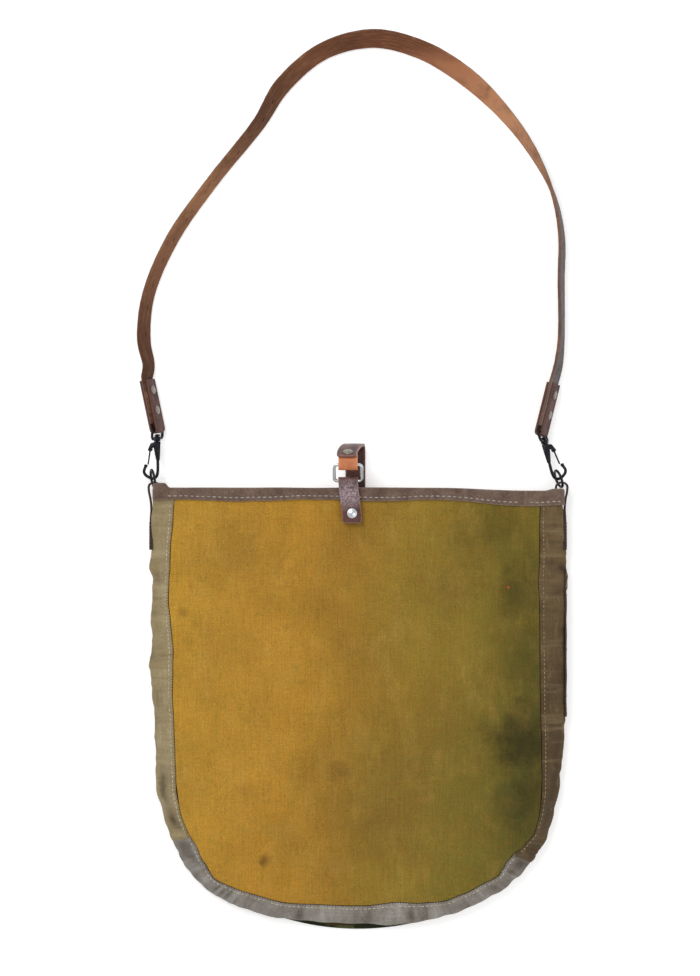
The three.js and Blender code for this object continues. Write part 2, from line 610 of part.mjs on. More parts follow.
// Leather strip sewn along the fold of the right gusset.
const strip = { x: outerFold.half + gap + 1.2, topY: 139, lowY: -8, width: 10, leather: 2 };
const stripPath = [vec(strip.x, strip.topY, foldHeight), vec(strip.x, strip.lowY, foldHeight)];
add('gusset_strip', band(stripPath, strip.width, strip.leather, Z), 'darkLeather');

export default sack;
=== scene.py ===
import bpy
import bmesh
import math
import random
from mathutils import Matrix, Vector, noise
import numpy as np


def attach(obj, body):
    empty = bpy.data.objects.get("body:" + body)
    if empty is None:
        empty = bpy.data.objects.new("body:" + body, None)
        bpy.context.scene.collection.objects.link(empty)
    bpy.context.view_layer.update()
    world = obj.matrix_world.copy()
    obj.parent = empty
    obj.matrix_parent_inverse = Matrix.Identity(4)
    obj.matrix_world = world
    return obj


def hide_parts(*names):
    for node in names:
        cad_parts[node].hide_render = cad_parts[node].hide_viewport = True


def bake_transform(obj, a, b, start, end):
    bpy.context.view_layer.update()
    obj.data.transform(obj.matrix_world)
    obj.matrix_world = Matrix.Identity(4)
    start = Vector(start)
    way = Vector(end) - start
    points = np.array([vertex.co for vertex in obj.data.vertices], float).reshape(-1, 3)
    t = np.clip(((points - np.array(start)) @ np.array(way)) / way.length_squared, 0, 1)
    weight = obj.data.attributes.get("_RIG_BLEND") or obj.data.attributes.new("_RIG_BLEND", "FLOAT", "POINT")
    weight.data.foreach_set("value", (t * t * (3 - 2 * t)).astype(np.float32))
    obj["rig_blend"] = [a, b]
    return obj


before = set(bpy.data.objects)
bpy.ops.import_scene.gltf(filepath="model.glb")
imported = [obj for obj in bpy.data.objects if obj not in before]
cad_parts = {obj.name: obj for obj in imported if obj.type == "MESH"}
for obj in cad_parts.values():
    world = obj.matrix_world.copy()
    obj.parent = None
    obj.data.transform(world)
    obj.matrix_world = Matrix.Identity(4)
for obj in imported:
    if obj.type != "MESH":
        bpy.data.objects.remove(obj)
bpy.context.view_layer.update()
random.seed(41)
mm = 0.001
up = Vector((0, 0, 1))
rightward = Vector((1, 0, 0))
print("frame loaded:", len(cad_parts), "nodes")


# camera straight above, lights and floor

studio = {
    "lookAt": (-0.008, 0.2195, 0.0), "height": 3.2, "frameWidth": 0.700,
    "floorColour": (0.93, 0.93, 0.925), "floorGlow": 0.34, "worldStrength": 0.62,
    "key": {"place": (-0.9, 1.3, 2.0), "size": 1.3, "power": 26.0},
    "fill": {"place": (1.3, -0.5, 1.9), "size": 1.6, "power": 10.0},
}


def addLight(name, settings):
    light = bpy.data.lights.new(name, "AREA")
    light.size = settings["size"]
    light.energy = settings["power"]
    holder = bpy.data.objects.new(name, light)
    holder.location = settings["place"]
    aim = Vector((0, 0.15, 0)) - holder.location
    holder.rotation_euler = aim.to_track_quat("-Z", "Y").to_euler()
    bpy.context.scene.collection.objects.link(holder)


def setStudio():
    scene = bpy.context.scene
    camera = bpy.data.cameras.new("camera")
    camera.sensor_fit = "HORIZONTAL"
    camera.lens = camera.sensor_width * studio["height"] / studio["frameWidth"]
    camera.clip_end = 20
    holder = bpy.data.objects.new("camera", camera)
    holder.location = Vector(studio["lookAt"]) + up * studio["height"]
    scene.collection.objects.link(holder)
    scene.camera = holder
    scene.view_settings.view_transform = "Standard"

    world = bpy.data.worlds.new("paleRoom")
    world.use_nodes = True
    world.node_tree.nodes["Background"].inputs["Color"].default_value = (1, 1, 1, 1)
    world.node_tree.nodes["Background"].inputs["Strength"].default_value = studio["worldStrength"]
    scene.world = world
    addLight("keyLight", studio["key"])
    addLight("fillLight", studio["fill"])

    bm = bmesh.new()
    bmesh.ops.create_grid(bm, x_segments=2, y_segments=2, size=4)
    bmesh.ops.translate(bm, verts=bm.verts, vec=(0, 0, -0.3 * mm))
    mesh = bpy.data.meshes.new("floor")
    bm.to_mesh(mesh)
    bm.free()
    floor = bpy.data.objects.new("floor", mesh)
    scene.collection.objects.link(floor)
    paint = bpy.data.materials.new("floorPaint")
    paint.use_nodes = True
    shader = paint.node_tree.nodes["Principled BSDF"]
    shader.inputs["Base Color"].default_value = (*studio["floorColour"], 1)
    shader.inputs["Roughness"].default_value = 0.9
    shader.inputs["Emission Color"].default_value = (1, 1, 1, 1)
    shader.inputs["Emission Strength"].default_value = studio["floorGlow"]
    mesh.materials.append(paint)


setStudio()
print("studio set")


# colours and shader helpers

def rgb(red, green, blue):
    def linear(value):
        share = value / 255
        return share / 12.92 if share <= 0.04045 else ((share + 0.055) / 1.055) ** 2.4
    return (linear(red), linear(green), linear(blue), 1.0)


def addNode(tree, kind, values=None, **settings):
    node = tree.nodes.new(kind)
    for key, value in settings.items():
        setattr(node, key, value)
    for key, value in (values or {}).items():
        if hasattr(value, "is_output"):
            tree.links.new(value, node.inputs[key])
        else:
            node.inputs[key].default_value = value
    return node


def mathNode(tree, operation, first, second=None, clamp=False):
    values = {0: first}
    if second is not None:
        values[1] = second
    return addNode(tree, "ShaderNodeMath", values, operation=operation, use_clamp=clamp).outputs[0]


def mixColour(tree, factor, first, second):
    values = {0: factor, 6: first, 7: second}  # the colour sockets are the seventh and eighth
    return addNode(tree, "ShaderNodeMix", values, data_type="RGBA").outputs[2]


def ramp(tree, factor, stops):
    node = addNode(tree, "ShaderNodeValToRGB", {"Fac": factor})
    elements = node.color_ramp.elements
    while len(elements) < len(stops):
        elements.new(0.5)
    for element, (position, colour) in zip(elements, stops):
        element.position = position
        element.color = colour
    return node.outputs["Color"]


def stretch(tree, value, low, high, newLow=0.0, newHigh=1.0):
    # low..high becomes newLow..newHigh, and what lies outside is held at the ends
    node = addNode(tree, "ShaderNodeMapRange", {
        "Value": value, "From Min": low, "From Max": high, "To Min": newLow, "To Max": newHigh,
    })
    return node.outputs["Result"]


def noiseAt(tree, vector, scale, detail=3.0, rough=0.5, squash=(1, 1, 1), shift=(0, 0, 0)):
    if squash != (1, 1, 1) or shift != (0, 0, 0):
        placing = {"Vector": vector, "Scale": squash, "Location": shift}
        vector = addNode(tree, "ShaderNodeMapping", placing).outputs[0]
    values = {"Vector": vector, "Scale": scale, "Detail": detail, "Roughness": rough}
    return addNode(tree, "ShaderNodeTexNoise", values).outputs["Fac"]


def newGroup(name, inputs, outputs):
    tree = bpy.data.node_groups.new(name, "ShaderNodeTree")
    for label, kind, value in inputs:
        socket = tree.interface.new_socket(name=label, in_out="INPUT", socket_type="NodeSocket" + kind)
        if value is not None:
            socket.default_value = value
    for label, kind in outputs:
        tree.interface.new_socket(name=label, in_out="OUTPUT", socket_type="NodeSocket" + kind)
    return tree, tree.nodes.new("NodeGroupInput"), tree.nodes.new("NodeGroupOutput")


def makeWeave():
    # plain weave from two crossed sets of threads, with uneven threads and slubs
    tree, entry, result = newGroup("canvasWeave", [
        ("Vector", "Vector", None), ("Threads", "Float", 5000.0),
    ], [("Height", "Float"), ("Shade", "Float"), ("Slub", "Float")])
    vector, threads = entry.outputs["Vector"], entry.outputs["Threads"]
    wobble = addNode(tree, "ShaderNodeTexNoise", {"Vector": vector, "Scale": 90.0, "Detail": 1.0})
    moved = addNode(tree, "ShaderNodeVectorMath", {0: wobble.outputs["Color"], 1: (0.0006, 0.0006, 0)},
                    operation="MULTIPLY").outputs[0]
    placed = addNode(tree, "ShaderNodeVectorMath", {0: vector, 1: moved}, operation="ADD").outputs[0]
    parts = addNode(tree, "ShaderNodeSeparateXYZ", {0: placed})
    across = mathNode(tree, "SINE", mathNode(tree, "MULTIPLY", parts.outputs[0], threads))
    along = mathNode(tree, "SINE", mathNode(tree, "MULTIPLY", parts.outputs[1], threads))
    weave = mathNode(tree, "MULTIPLY", across, along)
    rib = mathNode(tree, "MULTIPLY", across, 0.45)
    height = mathNode(tree, "ADD", weave, rib)
    warp = noiseAt(tree, vector, 900.0, 2.0, 0.6, (1, 0.03, 1))
    weft = noiseAt(tree, vector, 900.0, 2.0, 0.6, (0.04, 1, 1))
    grit = noiseAt(tree, vector, 760.0, 2.0, 0.5)
    warpShare = mathNode(tree, "MULTIPLY", warp, 0.3)
    weftShare = mathNode(tree, "MULTIPLY", weft, 0.16)
    slub = mathNode(tree, "ADD", warpShare, weftShare)
    slub = mathNode(tree, "ADD", slub, mathNode(tree, "MULTIPLY", grit, 0.54))
    height = mathNode(tree, "ADD", height, mathNode(tree, "MULTIPLY", slub, 1.5))
    tree.links.new(height, result.inputs["Height"])
    tree.links.new(stretch(tree, weave, -1, 1), result.inputs["Shade"])
    tree.links.new(slub, result.inputs["Slub"])
    return tree


def makeGrain():
    # pebbled hide with fine creases and soft patches
    tree, entry, result = newGroup("hideGrain", [
        ("Vector", "Vector", None), ("Scale", "Float", 900.0),
    ], [("Height", "Float"), ("Patch", "Float"), ("Crease", "Float")])
    vector, scale = entry.outputs["Vector"], entry.outputs["Scale"]
    cells = addNode(tree, "ShaderNodeTexVoronoi", {"Vector": vector, "Scale": scale},
                    feature="DISTANCE_TO_EDGE")
    pebbles = stretch(tree, cells.outputs["Distance"], 0, 0.35)
    fine = noiseAt(tree, vector, scale, 4.0)
    patch = noiseAt(tree, vector, 70.0, 4.0, 0.6)
    crease = noiseAt(tree, vector, 260.0, 5.0, 0.7, (1, 0.25, 1))
    tree.links.new(mathNode(tree, "ADD", pebbles, fine), result.inputs["Height"])
    tree.links.new(patch, result.inputs["Patch"])
    tree.links.new(stretch(tree, crease, 0.56, 0.7), result.inputs["Crease"])
    return tree


def makeWear():
    # edge rubbing: an edge attribute broken up by noise
    tree, entry, result = newGroup("edgeRub", [
        ("Vector", "Vector", None), ("Edge", "Float", 0.0), ("Amount", "Float", 0.5),
    ], [("Mask", "Float")])
    broken = noiseAt(tree, entry.outputs["Vector"], 420.0, 4.0, 0.65)
    raised = mathNode(tree, "ADD", entry.outputs["Edge"], mathNode(tree, "SUBTRACT", broken, 0.5))
    mask = stretch(tree, raised, 0.55, 1.05)
    tree.links.new(mathNode(tree, "MULTIPLY", mask, entry.outputs["Amount"], True), result.inputs["Mask"])
    return tree


weaveGroup = makeWeave()
grainGroup = makeGrain()
wearGroup = makeWear()


def startMaterial(name, roughness=0.8, specular=0.3, metallic=0.0):
    material = bpy.data.materials.new(name)
    material.use_nodes = True
    shader = material.node_tree.nodes["Principled BSDF"]
    shader.inputs["Roughness"].default_value = roughness
    shader.inputs["Specular IOR Level"].default_value = specular
    shader.inputs["Metallic"].default_value = metallic
    return material, material.node_tree, shader


def useGroup(tree, group, values):
    return addNode(tree, "ShaderNodeGroup", values, node_tree=group)


def bumpInto(tree, shader, height, distance, strength):
    bump = addNode(tree, "ShaderNodeBump", {"Height": height, "Distance": distance, "Strength": strength})
    tree.links.new(bump.outputs["Normal"], shader.inputs["Normal"])


def distanceTo(tree, vector, place):
    return addNode(tree, "ShaderNodeVectorMath", {0: vector, 1: place}, operation="DISTANCE").outputs["Value"]


def spotMask(tree, vector, spot, soft):
    # a soft uneven blot round a point of the front panel, and its strength
    x, y, radius, strength = spot
    away = distanceTo(tree, vector, (x * mm, y * mm, 27 * mm))
    reach = radius * mm
    rough = noiseAt(tree, vector, 60.0, 4.0, 0.6)
    size = mathNode(tree, "ADD", away, mathNode(tree, "MULTIPLY", rough, reach * 1.4))
    return stretch(tree, size, reach * (1.9 - soft), reach * 1.9, 1.0, 0.0), strength


# bmesh helpers

def finishPiece(name, bm, body, slotName, material, replaced=()):
    mesh = bpy.data.meshes.new(name)
    bm.to_mesh(mesh)
    bm.free()
    mesh.materials.append(material)
    for polygon in mesh.polygons:
        polygon.use_smooth = True
    piece = bpy.data.objects.new(name, mesh)
    bpy.context.scene.collection.objects.link(piece)
    if body:
        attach(piece, body)
    if replaced:
        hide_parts(*replaced)
    return piece


def bevelEdges(bm, edges, width):
    bmesh.ops.bevel(bm, geom=edges, offset=width, offset_type="OFFSET", affect="EDGES", segments=2,
                    profile=0.5, material=-1, clamp_overlap=True)


def roundEdges(bm, width, least=0.9):
    # least is the smallest turn between two faces, in radians, that counts as sharp
    sharp = [edge for edge in bm.edges if edge.is_manifold and edge.calc_face_angle() > least]
    bevelEdges(bm, sharp, width)


def sheetMesh(across, along, place, thickness, size, bevel=0.0, edgeFade=0.0, flip=False):
    # a grid laid over place(u, v) and thickened behind it: its map is in metres, its edge attribute
    # fades in from the rim and its outer attribute marks the near face
    bm = bmesh.new()
    uvLayer = bm.loops.layers.uv.new("surface")
    edgeLayer = bm.verts.layers.float.new("edge")
    outerLayer = bm.verts.layers.float.new("outer")
    bmesh.ops.create_grid(bm, x_segments=across, y_segments=along, size=0.5)
    for face in bm.faces:
        for loop in face.loops:
            loop[uvLayer].uv = ((loop.vert.co.x + 0.5) * size[0], (loop.vert.co.y + 0.5) * size[1])
    for vert in bm.verts:
        u, v = vert.co.x + 0.5, vert.co.y + 0.5
        if edgeFade:
            rim = min(min(u, 1 - u) * size[0], min(v, 1 - v) * size[1])
            vert[edgeLayer] = max(0.0, 1 - rim / edgeFade)
        vert[outerLayer] = 1.0
        vert.co = place(u, v)
    if flip:
        bmesh.ops.reverse_faces(bm, faces=bm.faces[:])
    bm.normal_update()
    outside = set(bm.verts)
    bmesh.ops.solidify(bm, geom=bm.faces[:], thickness=thickness)
    for vert in bm.verts:
        if vert not in outside:
            vert[outerLayer] = 0.0
    if bevel:
        roundEdges(bm, bevel)
    return bm


pathFineness = 24  # places worked out between two points of a smooth path


def smoothPath(points, steps):
    # centripetal Catmull-Rom through the points, resampled to even lengths
    pts = [Vector(point) for point in points]
    pts = [pts[0] * 2 - pts[1]] + pts + [pts[-1] * 2 - pts[-2]]
    fine = []
    for i in range(1, len(pts) - 2):
        p0, p1, p2, p3 = pts[i - 1:i + 3]
        t1 = (p1 - p0).length ** 0.5 or 1
        t2 = t1 + ((p2 - p1).length ** 0.5 or 1)
        t3 = t2 + ((p3 - p2).length ** 0.5 or 1)
        for k in range(pathFineness):
            t = t1 + (t2 - t1) * k / pathFineness
            a1 = p0.lerp(p1, t / t1)
            a2 = p1.lerp(p2, (t - t1) / (t2 - t1))
            a3 = p2.lerp(p3, (t - t2) / (t3 - t2))
            b1 = a1.lerp(a2, t / t2)
            b2 = a2.lerp(a3, (t - t1) / (t3 - t1))
            fine.append(b1.lerp(b2, (t - t1) / (t2 - t1)))
    fine.append(pts[-2].copy())
    return evenPath(fine, steps)


def evenPath(fine, steps):
    lengths = [0.0]
    for a, b in zip(fine, fine[1:]):
        lengths.append(lengths[-1] + (b - a).length)
    even, j = [], 0
    for k in range(steps + 1):
        goal = lengths[-1] * k / steps
        while j < len(fine) - 2 and lengths[j + 1] < goal:
            j += 1
        share = (goal - lengths[j]) / max(1e-12, lengths[j + 1] - lengths[j])
        even.append(fine[j].lerp(fine[j + 1], min(1.0, share)))
    return even


def pathLength(path):
    return sum((b - a).length for a, b in zip(path, path[1:]))


def tangents(path):
    return [(path[min(i + 1, len(path) - 1)] - path[max(i - 1, 0)]).normalized() for i in range(len(path))]


def sampleList(values, share):
    place = min(max(share, 0.0), 1.0) * (len(values) - 1)
    low = min(int(place), len(values) - 2)
    first, second = values[low], values[low + 1]
    return first.lerp(second, place - low)


def bandMesh(path, wides, faces, width, thickness, across=8, bevel=0.5 * mm, edgeFade=3 * mm,
             corners=(0, 0)):
    # a strap along a path: wides point across it, faces out of its grain side, corners round its ends
    length = pathLength(path)

    def place(u, v):
        centre, wide, face = sampleList(path, v), sampleList(wides, v), sampleList(faces, v)
        breadth = width
        for corner, away in ((corners[0], v * length), (corners[1], (1 - v) * length)):
            if away < corner:
                breadth -= 2 * (corner - math.sqrt(corner ** 2 - (corner - away) ** 2))
        return centre + wide.normalized() * (breadth * (u - 0.5)) + face.normalized() * thickness / 2
    turned = wides[0].cross(path[1] - path[0]).dot(faces[0]) < 0
    return sheetMesh(across, len(path) - 1, place, thickness, (width, length), bevel, edgeFade, turned)


def flatBand(path, wide, width, thickness, outward, **options):
    # a strap whose path lies in the plane across wide; outward is near its first grain direction
    runs = tangents(path)
    sign = 1 if wide.cross(runs[0]).dot(outward) > 0 else -1
    faces = [wide.cross(run).normalized() * sign for run in runs]
    return bandMesh(path, [wide] * len(path), faces, width, thickness, **options)


def tubeMesh(path, radius, closed=False, sides=16):
    # a round wire: a curve with a round section, made a mesh
    curve = bpy.data.curves.new("wire", "CURVE")
    curve.dimensions = "3D"
    curve.bevel_depth = radius
    curve.bevel_resolution = sides // 4 - 1
    curve.use_fill_caps = True
    spline = curve.splines.new("POLY")
    spline.points.add(len(path) - 1)
    for point, place in zip(spline.points, path):
        point.co = (*place, 1)
    spline.use_cyclic_u = closed
    holder = bpy.data.objects.new("wire", curve)
    mesh = bpy.data.meshes.new_from_object(holder)
    bm = bmesh.new()
    bm.from_mesh(mesh)
    bpy.data.objects.remove(holder)
    bpy.data.curves.remove(curve)
    bpy.data.meshes.remove(mesh)
    bmesh.ops.remove_doubles(bm, verts=bm.verts[:], dist=1e-6)
    bmesh.ops.recalc_face_normals(bm, faces=bm.faces[:])
    return bm


def joinInto(target, part):
    mesh = bpy.data.meshes.new("part")
    part.to_mesh(mesh)
    part.free()
    target.from_mesh(mesh)
    bpy.data.meshes.remove(mesh)


def turnedMesh(profile, place, axis, steps=24):
    # a turned piece: profile pairs are (radius, height) in mm, spun round its axis
    bm = bmesh.new()
    verts = [bm.verts.new((radius * mm, 0, height * mm)) for radius, height in profile]
    edges = [bm.edges.new(pair) for pair in zip(verts, verts[1:])]
    bmesh.ops.spin(bm, geom=verts + edges, cent=(0, 0, 0), axis=(0, 0, 1), dvec=(0, 0, 0),
                   angle=2 * math.pi, steps=steps, use_merge=True, use_duplicate=False)
    bmesh.ops.remove_doubles(bm, verts=bm.verts[:], dist=1e-7)
    bmesh.ops.recalc_face_normals(bm, faces=bm.faces[:])
    turn = Vector(axis).to_track_quat("Z", "Y").to_matrix().to_4x4()
    bmesh.ops.transform(bm, matrix=Matrix.Translation(place) @ turn, verts=bm.verts[:])
    return bm


def stitchAlong(path, normals, pitch, length, radius, slant=0.0):
    # sewing thread: one low capsule for each stitch, sunk a little into the surface
    count = max(2, round(pathLength(path) / pitch))
    places = evenPath(path, count)
    shape = Matrix.Diagonal((length / 2, radius, radius * 0.8, 1))
    lieDown = Matrix.Rotation(math.pi / 2, 4, "Y")
    bm = bmesh.new()
    for k in range(count):
        normal = sampleList(normals, k / count)
        run = (places[k + 1] - places[k]).normalized()
        rise = (normal - run * normal.dot(run)).normalized()
        turn = Matrix((run, run.cross(rise), rise)).transposed().to_4x4()
        lean = Matrix.Rotation(slant + random.uniform(-0.09, 0.09), 4, "Z")
        middle = Matrix.Translation((places[k] + places[k + 1]) / 2)
        bmesh.ops.create_uvsphere(bm, u_segments=6, v_segments=5, radius=1,
                                  matrix=middle @ turn @ lean @ shape @ lieDown)
    return bm


def waver(place, scale, seed=0.0):
    return noise.noise(Vector(place) * scale + Vector((seed, seed * 0.7, seed * 1.3)))


# the sack's shape

seams = {
    "front": {"half": 182 * mm, "depth": 122 * mm, "power": 2.6},
    "fold": {"half": 205 * mm, "depth": 141 * mm, "power": 2.4},
    "backEdge": {"half": 198 * mm, "depth": 149 * mm, "power": 2.0},
    "backSeam": {"half": 190 * mm, "depth": 136 * mm, "power": 2.2},
}
sackShape = {
    "mouthY": 220 * mm, "canvasTop": 218 * mm, "bottomStart": -72 * mm, "canvas": 1.9 * mm,
    "bodyTop": 27 * mm, "mouthTop": 23 * mm, "mouthLift": 5.4 * mm, "dome": 3 * mm, "foldHeight": 13 * mm,
    "seamGap": 0.7 * mm, "gussetJoin": (1.12, 1.82),
}
# stations run 0 to 1 down the left side, to 2 round the bottom and to 3 up the right side
# hand sewing pulled the outline about: station, then how far the seam and the fold stand out, in mm
seamWander = [
    (0.0, 0, 0), (0.1, 2.0, 1.0), (0.2, 4.5, 0), (0.27, 5, 2.4), (0.31, 6.0, -1), (0.38, 6.5, -0.5),
    (0.45, 4.5, 1.4), (0.5, 3.0, 0), (0.55, 1.5, 1), (0.6, 2, 3), (0.64, 2, 1.2), (0.7, 2.5, 0.5),
    (0.8, 1.0, -3.5), (0.9, 0, -3.2), (1.0, -1.0, -4), (1.05, -3.5, -8), (1.1, -5.5, -8.2),
    (1.15, -6.5, -7), (1.2, -2.0, -4.5), (1.25, 4.0, -1.2), (1.3, 2.6, 0), (1.35, 1.5, 0.5),
    (1.4, 2.5, 1), (1.46, 0.8, 0), (1.5, 1.2, 0.4), (1.54, -1.5, 1.8), (1.58, 1.5, 2.2), (1.62, 3.4, 1),
    (1.66, 1.5, -0.8), (1.71, -0.8, -2.2), (1.75, 0, -4), (1.77, -3, -5), (1.79, -6, -6),
    (1.82, -6.6, -7), (1.85, -3.6, -7.4), (1.9, 0.4, -7.8), (1.95, 0.4, -7), (2.0, 0.8, -3.0),
    (2.1, 0.5, 0.6), (2.3, -1, 2.4), (2.5, -1.5, 0), (2.62, -1.8, 1), (2.69, -3, 3.6), (2.76, -1.5, 1),
    (2.86, -1.5, 0), (3.0, -0.5, 0),
]
canvas = sackShape["canvas"]


def ease(t):
    c = min(1.0, max(0.0, t))
    return c * c * (3 - 2 * c)


def nearMouth(y, start, end):
    return ease((y / mm - start) / (end - start))


def mouthDip(place):
    # the mouth hangs a little lower at its right corner
    drop = 3 * mm * ease((place.x - 0.07) / 0.1) * nearMouth(place.y, 150, 218)
    return Vector((place.x, place.y - drop, place.z))


def frontZ(y):
    return sackShape["bodyTop"] + (sackShape["mouthTop"] - sackShape["bodyTop"]) * nearMouth(y, 110, 203)


def backZ(y):
    return sackShape["mouthLift"] * nearMouth(y, 130, 180)


def seamPoint(seam, station, shrink=0.0):
    half, depth = seam["half"] - shrink, seam["depth"] - shrink
    top, low = sackShape["canvasTop"], sackShape["bottomStart"]
    if station <= 1:
        return -half, top + (low - top) * station
    if station >= 2:
        return half, low + (top - low) * (station - 2)
    c, s = math.cos(math.pi * (station - 1)), math.sin(math.pi * (station - 1))
    x = -math.copysign(half * abs(c) ** (2 / seam["power"]), c)
    return x, low - depth * abs(s) ** (2 / seam["power"])


def wanderAt(station, column):
    for before, after in zip(seamWander, seamWander[1:]):
        if station <= after[0]:
            share = ease((station - before[0]) / (after[0] - before[0]))
            return (before[column] + (after[column] - before[column]) * share) * mm
    return seamWander[-1][column] * mm


def seamOutward(station):
    before = seamPoint(seams["front"], station - 0.01)
    after = seamPoint(seams["front"], station + 0.01)
    return Vector((before[1] - after[1], after[0] - before[0], 0)).normalized() * -1


def panelShift(x, y):
    # moves a place on the front panel with the nearest stretch of its seam
    seam, fromStart = seams["front"], y - sackShape["bottomStart"]
    if fromStart > 0:
        share = fromStart / (sackShape["canvasTop"] - sackShape["bottomStart"])
        station, reach = (1 - share, -x / seam["half"]) if x < 0 else (2 + share, x / seam["half"])
    else:
        c = abs(x / seam["half"]) ** (seam["power"] / 2)
        s = abs(fromStart / seam["depth"]) ** (seam["power"] / 2)
        turn = math.atan2(s, math.copysign(c, -x))
        station, reach = 1 + turn / math.pi, (c * c + s * s) ** (1 / seam["power"])
    return seamOutward(station) * wanderAt(station, 1) * min(1, reach) ** 4


def bottomY(seam, x):
    share = min(1.0, abs(x / seam["half"]))
    return sackShape["bottomStart"] - seam["depth"] * (1 - share ** seam["power"]) ** (1 / seam["power"])


def frontFace(x, y):
    # height of the front panel's outer face, with its soft swells and creases
    share = x / seams["front"]["half"]
    swell = sackShape["dome"] * (1 - share ** 2) * (1 - nearMouth(y, 60, 190)) * ease((y / mm + 194) / 120)
    rim = ease((seams["front"]["half"] - abs(x)) / (16 * mm)) * ease((sackShape["mouthY"] - y) / (60 * mm))
    rim *= ease((y - bottomY(seams["front"], x)) / (16 * mm))  # the swells die away towards the seam
    soft = 1.5 * mm * waver((x, y * 0.8, 0), 17) + 0.8 * mm * waver((x, y * 0.5, 0), 42, 3.0)
    folds = 2.2 * mm * max(0.0, waver((x + y * 0.3, y * 0.25, 0), 60, 6.0)) ** 2
    return frontZ(y) + swell + (soft + folds - 0.9 * mm) * rim


stationStep = 0.004  # how far apart two stations are taken to find the gusset's direction


def gussetPoint(station, across):
    # a place on the gusset's outer face: across runs from the front seam over the fold to the back seam
    y = seamPoint(seams["front"], station)[1]
    outward, mouth = seamOutward(station), nearMouth(y, 140, 203)
    front = Vector((*seamPoint(seams["front"], station), frontZ(y))) + outward * wanderAt(station, 1)
    foldHeight = sackShape["foldHeight"] + 6 * mm * mouth
    fold = Vector((*seamPoint(seams["fold"], station, 1.5 * mm * mouth), foldHeight))
    fold += outward * wanderAt(station, 2)
    step = 2.3 * mm * (1 - nearMouth(y, 155, 195))
    back = Vector((*seamPoint(seams["backSeam"], station, 6 * mm * nearMouth(y, 95, 150)), backZ(y) + step))
    weights = ((1 - across) * (1 - 2 * across), 4 * across * (1 - across), across * (2 * across - 1))
    here = sum((place * weight for place, weight in zip((front, fold, back), weights)), Vector())
    return mouthDip(here)


# hollows pressed into the gusset: station, across, half lengths along both, depth in mm
hollows = [
    (0.30, 0.20, 0.020, 0.12, 0.8), (0.72, 0.26, 0.030, 0.10, 0.7), (0.99, 0.24, 0.026, 0.10, 1.7),
    (1.020, 0.30, 0.018, 0.10, 1.2), (1.070, 0.22, 0.024, 0.10, 2.0), (1.095, 0.12, 0.018, 0.07, 1.2),
    (1.150, 0.22, 0.018, 0.14, 1.9), (1.180, 0.14, 0.016, 0.10, 1.4), (1.225, 0.34, 0.014, 0.12, 0.9),
    (1.272, 0.22, 0.004, 0.20, 1.5), (1.286, 0.26, 0.003, 0.22, 1.3), (1.300, 0.24, 0.004, 0.20, 1.6),
    (1.318, 0.30, 0.003, 0.20, 1.0), (1.430, 0.26, 0.005, 0.18, 1.0), (1.560, 0.22, 0.005, 0.20, 1.4),
    (1.640, 0.26, 0.010, 0.14, 0.9), (1.720, 0.20, 0.008, 0.14, 0.9), (1.797, 0.24, 0.014, 0.16, 2.2),
    (1.772, 0.16, 0.008, 0.12, 1.5), (1.838, 0.26, 0.0022, 0.30, 1.3), (1.848, 0.26, 0.0022, 0.30, 1.4),
    (1.858, 0.26, 0.0022, 0.30, 1.2), (1.872, 0.22, 0.004, 0.20, 1.0), (1.950, 0.16, 0.030, 0.06, 1.4),
    (2.010, 0.22, 0.040, 0.08, 1.5), (2.130, 0.30, 0.030, 0.12, 0.8), (2.330, 0.22, 0.020, 0.14, 0.9),
    (2.640, 0.26, 0.016, 0.20, 1.0), (2.732, 0.34, 0.014, 0.14, 2.2), (2.750, 0.12, 0.012, 0.08, 1.6),
    (2.820, 0.20, 0.006, 0.18, 1.0), (2.880, 0.24, 0.006, 0.18, 0.9),
]


def hollowAt(station, across):
    depth = 0.0
    for place, over, halfPlace, halfOver, deep in hollows:
        away = ((station - place) / halfPlace) ** 2 + ((across - over) / halfOver) ** 2
        if away < 6:  # farther out it fades to nothing
            depth += deep * math.exp(-away * 0.9)
    return depth


def gussetFace(station, across, pucker):
    # the gusset's outer face with the puckers and rolls of hand-turned cloth
    here = gussetPoint(station, across)
    run = gussetPoint(station + stationStep, across) - gussetPoint(station - stationStep, across)
    over = gussetPoint(station, min(1, across + 0.03)) - gussetPoint(station, max(0, across - 0.03))
    rise = over.cross(run).normalized()
    outward = Vector((here.x, here.y + 0.02, 0)).normalized()
    if rise.dot(outward + up * (0.5 - across)) < 0:
        rise.negate()
    hold = math.sin(math.pi * min(1, across)) ** 0.6
    calm = ease((sackShape["canvasTop"] - here.y) / (30 * mm))
    roll = 1.6 * mm * waver((station, across * 0.25, 0), 9, 2.0)
    fine = pucker * waver((station, across * 0.05, 0), 46, 5.0) * (1 - across * 0.6)
    wide = 0.9 * mm * waver((station, across * 1.2, 0), 4.0, 9.0)
    ridge = 0.9 * mm * math.sin(math.pi * min(1.0, across / 0.11)) ** 0.7
    turned = calm * (ridge - 0.8 * mm * hollowAt(station, across))
    return here + rise * (hold * calm * (roll + fine + wide) + turned)


# cloth, hide, metal and thread

canvasRelief = 0.6
plainThreads = 5200.0

frontStains = {
    # place and radius in mm, then strength
    "dark": [(134, 176, 40, 0.5), (156, 116, 26, 0.55), (172, 150, 22, 0.4), (165, 50, 34, 0.5),
             (170, -34, 42, 0.8), (152, -20, 26, 0.35), (168, -90, 34, 0.55)],
    "brown": [(-93, -149, 7, 0.7), (-96, -152, 3.5, 0.6), (-174, 97, 6, 0.4), (-118, 156, 48, 0.28),
              (-52, 112, 34, 0.14), (-18, -62, 12, 0.42), (-20, 165, 40, 0.2), (-112, -82, 12, 0.2),
              (20, -100, 60, 0.3), (90, 130, 36, 0.2), (60, -20, 60, 0.2), (-64, -130, 30, 0.12)],
    "red": (149, 121, 1.4, 0.9),
}


